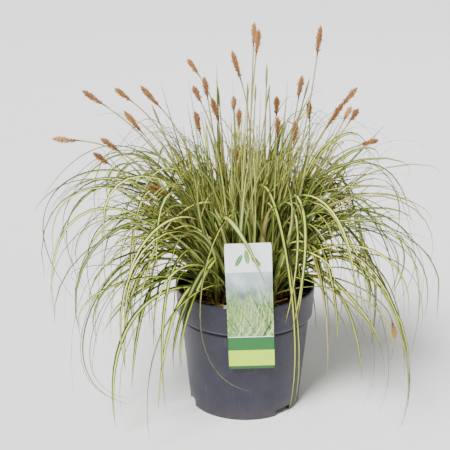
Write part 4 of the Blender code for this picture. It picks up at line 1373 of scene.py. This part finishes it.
def label_finish(settings):
    """Printed card: a leaf sprig on white, a meadow under a pale sky, a green band and a lime band."""
    look = Finish(
        "label_card", roughness=0.32, Specular_IOR_Level=0.5, Coat_Weight=0.25, Coat_Roughness=0.2
    )
    across, up = look.uv()
    front = look.attribute("front")
    white = linear(246, 248, 250)
    colour = look.mix(look.step(up, 0.50, 0.76), linear(22, 70, 20), linear(164, 186, 190))
    cloud = look.noise(look.vector(across * 3, up * 8, 0), 1.0)
    colour = look.mix(look.step(cloud, 0.4, 0.7) * 0.4, colour, white)
    colour = print_meadow(look, across, up, colour)
    colour = look.mix(look.step(up, MEADOW_TOP, MEADOW_TOP + PRINT_EDGE), colour, white)
    colour = print_sprig(look, across, up, colour, white)
    for top, tint in (
        (WHITE_LINE_TOP, white),
        (GREEN_TOP, tuple(settings.green_colour)),
        (LIME_TOP, tuple(settings.lime_colour)),
        (DARK_TOP, linear(24, 84, 34)),
    ):
        colour = look.mix(1 - look.step(up, top, top + PRINT_EDGE), colour, tint)
    back = look.mix(look.noise(look.place(), 300.0), linear(232, 236, 226), linear(222, 228, 214))
    back = look.mix(0 - front, back, linear(150, 152, 140))
    colour = look.mix(front, back, colour)
    look.wire(Base_Color=colour)
    look.bump(look.noise(look.place(), 900.0, 2.0), 0.05, 0.0002)
    return look.material


def label_card(corner):
    """Points, UV and faces of the card, upright on the origin: a grid of across and up, front and back.

    A row's half width is the card's less corner plus the root of corner squared less inset squared,
    where inset is how far the row reaches into the corner's radius. At the default radius only the
    top and bottom rows do. A strip of faces joins the two grids round the edge.
    """
    half, low, high = LABEL_WIDTH / 2, -LABEL_BELOW_RIM, LABEL_ABOVE_RIM
    columns, rows = Fine.LABEL_COLUMNS, Fine.LABEL_ROWS
    u, v = np.meshgrid(np.linspace(-1, 1, columns), np.linspace(-1, 1, rows), indexing="xy")
    height = (high - low) / 2
    y = v * height
    inset = np.clip(np.abs(y) - (height - corner), 0, corner)
    x = u * (half - corner + np.sqrt(corner**2 - inset**2))
    z = y + (high + low) / 2
    front = np.stack([x, np.full_like(x, -LABEL_THICKNESS / 2), z], -1)
    back = front + (0, LABEL_THICKNESS, 0)
    index = np.arange(rows * columns).reshape(rows, columns)
    a, b, c, d = index[:-1, :-1], index[:-1, 1:], index[1:, 1:], index[1:, :-1]
    total = rows * columns
    faces = [
        np.stack([a, b, c, d], -1).reshape(-1, 4),
        np.stack([d, c, b, a], -1).reshape(-1, 4) + total,
    ]
    loop = np.concatenate([index[0], index[1:, -1], index[-1, -2::-1], index[-2:0:-1, 0]])
    after = np.roll(loop, -1)
    faces.append(np.stack([after, loop, loop + total, after + total], -1))
    uv = np.stack([(x / half + 1) / 2, (z - low) / (high - low)], -1).reshape(-1, 2)
    points = np.concatenate([front.reshape(-1, 3), back.reshape(-1, 3)])
    return points, np.concatenate([uv, uv]), faces


def label_strap():
    """Rows of four points of the hook strap: a flat section carried back over the rim and down inside.

    The path runs level from the card, turns down by a quarter circle of radius bend and drops.
    """
    top, inner, bend = HOOK_LIFT + LABEL_THICKNESS / 2, HOOK_REACH + LABEL_THICKNESS / 2, 0.0016
    quarter = [
        (inner - bend + bend * math.sin(turn), top - bend + bend * math.cos(turn))
        for turn in np.linspace(0, math.pi / 2, Fine.STRAP_TURNS)
    ]
    path = np.array([(0.0, top), *quarter, (inner, -HOOK_DROP)])
    along = np.gradient(path, axis=0)
    along /= np.linalg.norm(along, axis=1, keepdims=True)
    normal = np.stack([-along[:, 1], along[:, 0]], -1) * LABEL_THICKNESS / 2
    left, right = HOOK_LEFT, HOOK_LEFT + HOOK_WIDTH
    section = []
    for side, sign in ((left, 1), (right, 1), (right, -1), (left, -1)):
        p = path + normal * sign
        section.append(np.stack([np.full(len(p), side), p[:, 0], p[:, 1]], -1))
    return np.stack(section, 1)


def make_label(settings, material):
    """The card and its strap in one mesh, leant back and rolled, then moved against the rim's front.

    The value front is 1 on the card's printed side, 0 on its back and -1 on the strap.
    """
    points, uv, faces = label_card(settings.corner)
    strap = label_strap()
    count, side = strap.shape[0] * strap.shape[1], len(points) // 2
    faces += [table + 2 * side for table in tube_faces(1, *strap.shape[:2])]
    points = np.concatenate([points, strap.reshape(-1, 3)])
    uv = np.concatenate([uv, np.full((count, 2), 0.5)])
    front = np.concatenate([np.ones(side), np.zeros(side), np.full(count, -1.0)])
    roll, lean = LABEL_ROLL, LABEL_LEAN
    lean_back = np.array([
        (1, 0, 0),
        (0, math.cos(lean), -math.sin(lean)),
        (0, math.sin(lean), math.cos(lean)),
    ])
    roll_aside = np.array([
        (math.cos(roll), 0, math.sin(roll)),
        (0, 1, 0),
        (-math.sin(roll), 0, math.cos(roll)),
    ])
    points = points @ (roll_aside @ lean_back).T
    points += (LABEL_ACROSS, -RIM_RADIUS - CLEARANCE - LABEL_THICKNESS / 2, POT_HEIGHT)
    piece = new_piece(
        "plant_label", points, faces, material, "label_card", uv=uv, front=front, smooth=False
    )
    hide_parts("label")
    return piece


def thin_leaves(rng, tuft):
    """Leaves that only the scene has: more of the same two habits, tall, nodding and hair-thin ones.

    An arching leaf whose tip hangs low is mostly drawn again, so that the pot shows.
    """
    low_tip = 0.13
    made = []
    for kind, (count, widths) in THIN_KINDS.items():
        for _ in range(count):
            for _ in range(THIN_TRIES):
                arching = kind == "arching" or (kind == "hair" and rng.random() < 0.3)
                strand = drawn_leaf(tuft, rng, arching)
                if kind == "arching" and strand.points[-1][2] < low_tip and rng.random() < 0.7:
                    continue
                if kind == "upright":
                    strand = swayed(strand, rng)
                if kind == "tall":
                    strand = stretched(strand, rng)
                if kind == "nodding":
                    strand = nodding(strand, rng)
                if clear_of_holder(strand) and inside_box(strand) and shows_label(strand):
                    break
            else:
                continue
            strand.full_width = rng.uniform(*widths)
            made.append(strand)
    return made


def swayed(strand, rng):
    """The same leaf with its upper half pushed aside, so that leaves of one tuft cross."""
    root, low, *upper = (np.array(corner, float) for corner in strand.corners)
    push = np.array([rng.uniform(-0.028, 0.028), rng.uniform(-0.028, 0.028), 0])
    corners = [root, low + push * 0.2, upper[0] + push, upper[1] + push * 1.9]
    return strand.redrawn(corners, len(strand.points) - 1)


def nodding(strand, rng):
    """A fine leaf that rises steeply among the heads and bends over near its end."""
    root = np.array(strand.corners[0], float)
    way = np.array(strand.corners[3], float) - root
    way = np.array([way[0], way[1], 0]) / max(math.hypot(way[0], way[1]), 1e-6)
    side = np.array([-way[1], way[0], 0]) * rng.gauss(0, 0.02)
    reach, rise = rng.uniform(0.05, 0.17), rng.uniform(0.16, 0.27)
    corners = [
        root,
        root + way * reach * 0.15 + (0, 0, rise * 0.7),
        root + way * reach * 0.55 + side + (0, 0, rise * 1.15),
        root + way * reach + side * 2 + (0, 0, rise * rng.uniform(0.6, 1.0)),
    ]
    return strand.redrawn(corners, ARCHING_STEPS)


def companions(strand, rng):
    """Leaves beside one that draws the outline, with their shoulders and tip moved a little inwards."""
    made = []
    for _ in range(COMPANIONS):
        for _ in range(COMPANION_TRIES):
            root, *points = (np.array(corner, float) for corner in strand.corners)
            shift = np.array([rng.gauss(0, 0.014), rng.gauss(0, 0.014), 0])
            pull = rng.uniform(0.80, 0.96)
            moved = [
                root + (point - root) * (pull, pull, rng.uniform(0.85, 1.0)) + shift * (0.4 + 0.3 * i)
                for i, point in enumerate(points)
            ]
            half_width, roll = rng.uniform(0.0018, 0.0034), rng.uniform(-0.6, 0.6)
            other = Strand(
                strand.tuft, [root + shift * 0.2, *moved], OUTLINE_STEPS, half_width, LEAF_KEEL, roll
            )
            if clear_of_holder(other) and inside_box(other) and shows_label(other):
                made.append(other)
                break
    return made


def stretched(strand, rng):
    """An upright leaf with its shoulder and tip raised and drawn in, as those among the heads."""
    root, *upper = (np.array(corner, float) for corner in strand.corners)
    lift = rng.uniform(1.15, 1.5)
    corners = [root] + [root + (point - root) * (0.85, 0.85, lift) for point in upper]
    return strand.redrawn(corners, UPRIGHT_STEPS)


def inside_box(strand):
    """Whether a leaf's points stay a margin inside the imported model's box."""
    low, high = np.array(CAD_BOX)
    return bool(((strand.points > low + BOX_MARGIN) & (strand.points < high - BOX_MARGIN)).all())


def shows_label(strand):
    """Whether a leaf leaves the front of the label free."""
    x, y, z = strand.points.T
    before = (abs(x - VIEW_MIDDLE) < VIEW_HALF_WIDTH) & (y < VIEW_FRONT)
    return not (before & (z > VIEW_HEIGHTS[0]) & (z < VIEW_HEIGHTS[1])).any()


def sheaths(tuft, rng):
    """Short broad leaf bases round a tuft's foot, which are brown and dry.

    Each leans outwards by lean times its height, growing with the power 1.6 of the share of its
    length, and below the pot's rim it is drawn in so that it stays off the wall.
    """
    centre_x, centre_y = tuft_places()[tuft]

    def kept_in(x, y, z):
        inwards = min(1, SHEATH_REACH / math.hypot(x, y)) if z < POT_HEIGHT + 0.004 else 1
        return (x * inwards, y * inwards, z)

    made = []
    for i in range(SHEATHS):
        turn = i * GOLDEN_ANGLE + rng.uniform(-0.3, 0.3)
        out = rng.uniform(0.005, 0.0095)
        lean = rng.uniform(0.05, 0.5)
        height = rng.uniform(0.022, 0.055)
        x, y = centre_x + out * math.cos(turn), centre_y + out * math.sin(turn)
        points = [
            kept_in(
                x + lean * height * share**1.6 * math.cos(turn),
                y + lean * height * share**1.6 * math.sin(turn),
                SOIL_LEVEL - 0.002 + height * share,
            )
            for share in (0, 0.33, 0.66, 1)
        ]
        half_width, roll = rng.uniform(0.0018, 0.0030), rng.uniform(-0.4, 0.4)
        made.append(Strand(tuft, points, 3, half_width, LEAF_KEEL, roll))
    return made


def grown_plant():
    """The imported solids' own strands, from the same seed, and each head's foot, axis and length."""
    rng = random.Random(SEED)
    thicket = Thicket()
    for stub in stub_strands():
        thicket.add(stub)
    heads = place_flowers(thicket, rng)
    place_leaves(thicket, rng)
    return thicket, heads


def drying(strands, share, rng):
    """How dried each leaf is: not at all, but for about that share of them."""
    return [rng.uniform(0.6, 1) if rng.random() < share else 0.0 for _ in strands]


def make_tuft(tuft, strands, material, rng, settings):
    """One tuft: the solids' leaves, then companions, thin leaves and sheaths of the scene's own."""
    own = [strand for strand in strands if strand.tuft == tuft and strand.taper is leaf_taper]
    if not own:
        raise RuntimeError(f"tuft {tuft} has no leaf")
    bent = [strand for strand in own if len(strand.points) > OUTLINE_STEPS]
    plain = [strand for strand in own if len(strand.points) <= OUTLINE_STEPS]
    thin = thin_leaves(rng, tuft)
    dry = sheaths(tuft, rng)
    beside = [other for strand in bent for other in companions(strand, rng)]
    dried = drying(thin, 0.04, rng)
    for strand, age in zip(thin, dried):
        strand.full_width *= 0.5 if age else 1
    groups = [
        (bent, Fine.OUTLINE_RINGS, drying(bent, 0, rng)),
        (plain, Fine.LEAF_RINGS, drying(plain, 0.02, rng)),
        (beside, Fine.LEAF_RINGS, drying(beside, 0, rng)),
        (thin, Fine.THIN_RINGS, dried),
        (dry, Fine.SHEATH_RINGS, [rng.uniform(0.55, 1) for _ in dry]),
    ]
    piece = make_leaf_piece(f"leaves_{tuft:02d}", groups, material, rng, settings)
    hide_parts(f"tuft_{tuft:02d}")
    return piece


def make_stalks(strands, material, rng):
    """Tubes along the flower stalks and young spikes.

    A stalk's radius is 1.2 mm less 0.3 mm times the share of its length. A young spike's follows
    spindle, less 0.8 times the share to the power 6, which draws it out to a point.
    """
    rings, sides = Fine.STALK_RINGS, Fine.STALK_SIDES
    share = np.linspace(0, 1, rings)
    spike_radius = YOUNG_RADIUS * spindle(share) * (1 - 0.8 * share**6)
    stalk_radius = 0.0012 - 0.0003 * share
    points, uvs, faces, tones, start = [], [], [], [], 0
    for strand in strands:
        if strand.tuft < 0 or strand.taper is leaf_taper:
            continue
        radius = spike_radius if strand.taper is spindle else stalk_radius
        tube, uv = tube_surface(strand, rings, sides, radius)
        faces += [table + start for table in tube_faces(1, rings, sides)]
        start += rings * sides
        points.append(tube.reshape(-1, 3))
        uvs.append(uv.reshape(-1, 2))
        tones.append(np.full(rings * sides, rng.random()))
    return new_piece(
        "flower_stalks", np.concatenate(points), faces, material, "leaf",
        uv=np.concatenate(uvs), tone=np.concatenate(tones),
    )


def colour_property(name, description, red, green, blue):
    """A colour setting whose default is given as 0 to 255."""
    return FloatVectorProperty(
        name=name, description=description, default=linear(red, green, blue), size=3, min=0, max=1,
        subtype="COLOR",
    )


class PotSettings(bpy.types.PropertyGroup):
    """The pot's colours."""

    colour: colour_property("Colour", "Colour of the pot's plastic", 37, 35, 50)
    # The edge colour is partly wear and partly a painted highlight on the collar's lower edge.
    edge_wear_and_highlight_colour: colour_property("Edge", "Colour of the collar's worn lower edge", 108, 106, 116)


class LeafSettings(bpy.types.PropertyGroup):
    """The leaves' colours, and how broad and how thick they are."""

    stripe_colour: colour_property("Stripe", "Colour of a leaf's middle stripe", 247, 246, 118)
    margin_colour: colour_property("Margin", "Colour of a leaf's two margins", 22, 44, 6)
    width: FloatProperty(
        name="Width", description="Times a leaf's own width", default=1.2, min=0.3, max=2,
        subtype="FACTOR",
    )
    thickness: FloatProperty(
        name="Thickness", description="From a leaf's face to its underside", default=0.00022, min=0.0001,
        max=0.001, precision=5, unit="LENGTH", subtype="DISTANCE",
    )


class HeadSettings(bpy.types.PropertyGroup):
    """The flower heads' colour and how far their anthers stand out."""

    floret_colour: colour_property("Floret", "Colour of the florets' tips", 178, 108, 44)
    fringe: FloatProperty(
        name="Fringe", description="How far a head's anthers stand out", default=0.0042, min=0.001,
        max=0.01, unit="LENGTH", subtype="DISTANCE",
    )


class SoilSettings(bpy.types.PropertyGroup):
    """The soil's colours."""

    dark_colour: colour_property("Peat", "Colour of the damp peat", 17, 12, 9)
    bark_colour: colour_property("Bark", "Colour of the bark in the peat", 54, 30, 18)


class LabelSettings(bpy.types.PropertyGroup):
    """The label's colours and how round its corners are."""

    green_colour: colour_property("Green", "Colour of the label's green band", 22, 104, 38)
    lime_colour: colour_property("Lime", "Colour of the label's lime band", 188, 230, 30)
    corner: FloatProperty(
        name="Corner", description="Radius of the card's corners", default=0.0009, min=0.0002, max=0.01,
        unit="LENGTH", subtype="DISTANCE",
    )


class StageSettings(bpy.types.PropertyGroup):
    """Where the camera stands."""

    elevation: FloatProperty(
        name="Camera height", description="Angle of the camera above the horizon",
        default=math.radians(20.86), subtype="ANGLE", unit="ROTATION",
    )
    distance: FloatProperty(
        name="Camera distance", description="From the middle of the pot's rim", default=1.6,
        unit="LENGTH", subtype="DISTANCE",
    )


class Made:
    """The plant's strands and heads, worked out once for all the operators."""

    thicket = None
    heads = None


def plant():
    """The strands and the heads, grown when first asked for."""
    if Made.thicket is None:
        Made.thicket, Made.heads = grown_plant()
    return Made.thicket.strands, Made.heads


class SEDGE_OT_pot(bpy.types.Operator):
    """Makes the pot's moulded shell"""

    bl_idname = "sedge.pot"
    bl_label = "Pot"

    def execute(self, context):
        settings = context.scene.sedge_pot
        make_pot(settings, pot_finish(settings))
        return {"FINISHED"}


class SEDGE_OT_soil(bpy.types.Operator):
    """Makes the soil with its crumbs and bark"""

    bl_idname = "sedge.soil"
    bl_label = "Soil"

    def execute(self, context):
        rng = random.Random(Fine.SOIL_SEED)
        material = soil_finish(context.scene.sedge_soil)
        make_soil(material)
        make_crumbs(material, rng)
        return {"FINISHED"}


class SEDGE_OT_label(bpy.types.Operator):
    """Makes the printed card with its hook"""

    bl_idname = "sedge.label"
    bl_label = "Plant label"

    def execute(self, context):
        settings = context.scene.sedge_label
        make_label(settings, label_finish(settings))
        return {"FINISHED"}


class SEDGE_OT_leaves(bpy.types.Operator):
    """Makes each tuft's leaves, its finer leaves and its dry sheaths, and the litter on the soil"""

    bl_idname = "sedge.leaves"
    bl_label = "Leaves"

    def execute(self, context):
        strands, _ = plant()
        settings = context.scene.sedge_leaves
        material = leaf_finish(settings)
        rng = random.Random(Fine.THIN_SEED)
        for tuft in range(len(tuft_places())):
            make_tuft(tuft, strands, material, rng, settings)
        make_litter(material, rng, settings)
        return {"FINISHED"}


class SEDGE_OT_stalks(bpy.types.Operator):
    """Makes the flower stalks and the young spikes"""

    bl_idname = "sedge.stalks"
    bl_label = "Flower stalks"

    def execute(self, context):
        strands, _ = plant()
        stubs = len(tuft_places())
        make_stalks(strands[stubs:], stalk_finish(), random.Random(Fine.HEAD_SEED))
        return {"FINISHED"}


class SEDGE_OT_heads(bpy.types.Operator):
    """Makes the flower heads with their florets and anthers"""

    bl_idname = "sedge.heads"
    bl_label = "Flower heads"

    def execute(self, context):
        _, heads = plant()
        settings = context.scene.sedge_heads
        material = head_finish(settings)
        rng = random.Random(Fine.HEAD_SEED)
        for index, (foot, up, length) in enumerate(heads):
            make_head(index, foot, up, length, material, rng, settings.fringe)
        return {"FINISHED"}


# Stage: the lamps' places, and the camera's lens and aim, fitted to the pot's rim and foot in the photo.
LAMP_AIM = Vector((0, 0, 0.22))
SKY_STRENGTH = 0.24
KEY_PLACE = (-0.9, -1.5, 2.3)
KEY_STRENGTH = 7.4
KEY_SPREAD = math.radians(24)
AREA_LAMPS = (("fill_light", (1.8, -1.2, 1.4), 1.8, 8), ("back_light", (0.6, 2.2, 2.2), 2.2, 16))
FLOOR_REACH = 8
CAMERA_SENSOR = 36
CAMERA_LENS = 93.4
AIM_ACROSS = -0.01755
AIM_RISE = 0.0494


def add_floor(scene):
    """A plain pale floor, which is stage and no part of the object."""
    look = Finish("stage_floor", roughness=0.9)
    tint = look.mix(look.noise(look.place(), 3.0), (0.93, 0.93, 0.93), (0.95, 0.95, 0.95))
    look.wire(Base_Color=tint)
    mesh = bpy.data.meshes.new("stage_floor")
    corners = [(x * FLOOR_REACH, y * FLOOR_REACH, 0) for x, y in ((-1, -1), (1, -1), (1, 1), (-1, 1))]
    mesh.from_pydata(corners, [], [(0, 1, 2, 3)])
    mesh.materials.append(look.material)
    floor = bpy.data.objects.new("stage_floor", mesh)
    scene.collection.objects.link(floor)


def add_lamp(scene, light, place):
    """A lamp at place, turned towards the middle of the leaves."""
    lamp = bpy.data.objects.new(light.name, light)
    lamp.location = place
    aim = LAMP_AIM - Vector(place)
    lamp.rotation_euler = aim.to_track_quat("-Z", "Y").to_euler()
    scene.collection.objects.link(lamp)


def add_lights(scene):
    """A white sky, a wide soft key light from the front left, and two area lamps."""
    world = bpy.data.worlds.new("studio")
    world.use_nodes = True
    background = world.node_tree.nodes["Background"]
    background.inputs["Color"].default_value = (1, 1, 1, 1)
    background.inputs["Strength"].default_value = SKY_STRENGTH
    scene.world = world
    key = bpy.data.lights.new("key_light", "SUN")
    key.energy, key.angle = KEY_STRENGTH, KEY_SPREAD
    add_lamp(scene, key, KEY_PLACE)
    for name, place, size, power in AREA_LAMPS:
        light = bpy.data.lights.new(name, "AREA")
        light.size, light.energy = size, power
        add_lamp(scene, light, place)


def add_camera(scene, settings):
    """The photo's view: the camera stands off the middle of the rim and is aimed a little aside of it."""
    rise, away = math.sin(settings.elevation), math.cos(settings.elevation)
    data = bpy.data.cameras.new("camera")
    data.sensor_width = CAMERA_SENSOR
    data.lens = CAMERA_LENS
    camera = bpy.data.objects.new("camera", data)
    camera.location = (0, -away * settings.distance, POT_BOX[1][2] + rise * settings.distance)
    ahead = Vector((AIM_ACROSS, away + AIM_RISE * rise, -rise + AIM_RISE * away))
    camera.rotation_euler = ahead.to_track_quat("-Z", "Y").to_euler()
    scene.collection.objects.link(camera)
    scene.camera = camera


class SEDGE_OT_stage(bpy.types.Operator):
    """Sets the pale floor, the soft lights and the camera"""

    bl_idname = "sedge.stage"
    bl_label = "Stage"

    def execute(self, context):
        add_floor(context.scene)
        add_lights(context.scene)
        add_camera(context.scene, context.scene.sedge_stage)
        return {"FINISHED"}


class SEDGE_PT_panel(bpy.types.Panel):
    """The sedge's settings and the steps that make it"""

    bl_idname = "SEDGE_PT_panel"
    bl_label = "Carex sedge"
    bl_space_type = "VIEW_3D"
    bl_region_type = "UI"
    bl_category = "Sedge"

    def draw(self, context):
        for operator, settings in STEPS:
            box = self.layout.box()
            box.operator(operator.bl_idname)
            if settings:
                for name in GROUPS[settings].__annotations__:
                    box.prop(getattr(context.scene, settings), name)


# Each operator with the name of its settings on the scene, in the order in which they are run.
STEPS = (
    (SEDGE_OT_pot, "sedge_pot"),
    (SEDGE_OT_soil, "sedge_soil"),
    (SEDGE_OT_label, "sedge_label"),
    (SEDGE_OT_leaves, "sedge_leaves"),
    (SEDGE_OT_stalks, None),
    (SEDGE_OT_heads, "sedge_heads"),
    (SEDGE_OT_stage, "sedge_stage"),
)
GROUPS = {
    "sedge_pot": PotSettings,
    "sedge_soil": SoilSettings,
    "sedge_label": LabelSettings,
    "sedge_leaves": LeafSettings,
    "sedge_heads": HeadSettings,
    "sedge_stage": StageSettings,
}


def register():
    """Registers the settings, the operators and the panel."""
    for name, group in GROUPS.items():
        bpy.utils.register_class(group)
        setattr(bpy.types.Scene, name, PointerProperty(type=group))
    for operator, _ in STEPS:
        bpy.utils.register_class(operator)
    bpy.utils.register_class(SEDGE_PT_panel)


def unregister():
    """Takes the panel, the operators and the settings away again."""
    bpy.utils.unregister_class(SEDGE_PT_panel)
    for operator, _ in reversed(STEPS):
        bpy.utils.unregister_class(operator)
    for name, group in GROUPS.items():
        delattr(bpy.types.Scene, name)
        bpy.utils.unregister_class(group)


def main():
    """Makes every piece and the stage."""
    register()
    bpy.ops.sedge.pot()
    bpy.ops.sedge.soil()
    bpy.ops.sedge.label()
    bpy.ops.sedge.leaves()
    bpy.ops.sedge.stalks()
    bpy.ops.sedge.heads()
    bpy.ops.sedge.stage()


if __name__ == "__main__":
    main()
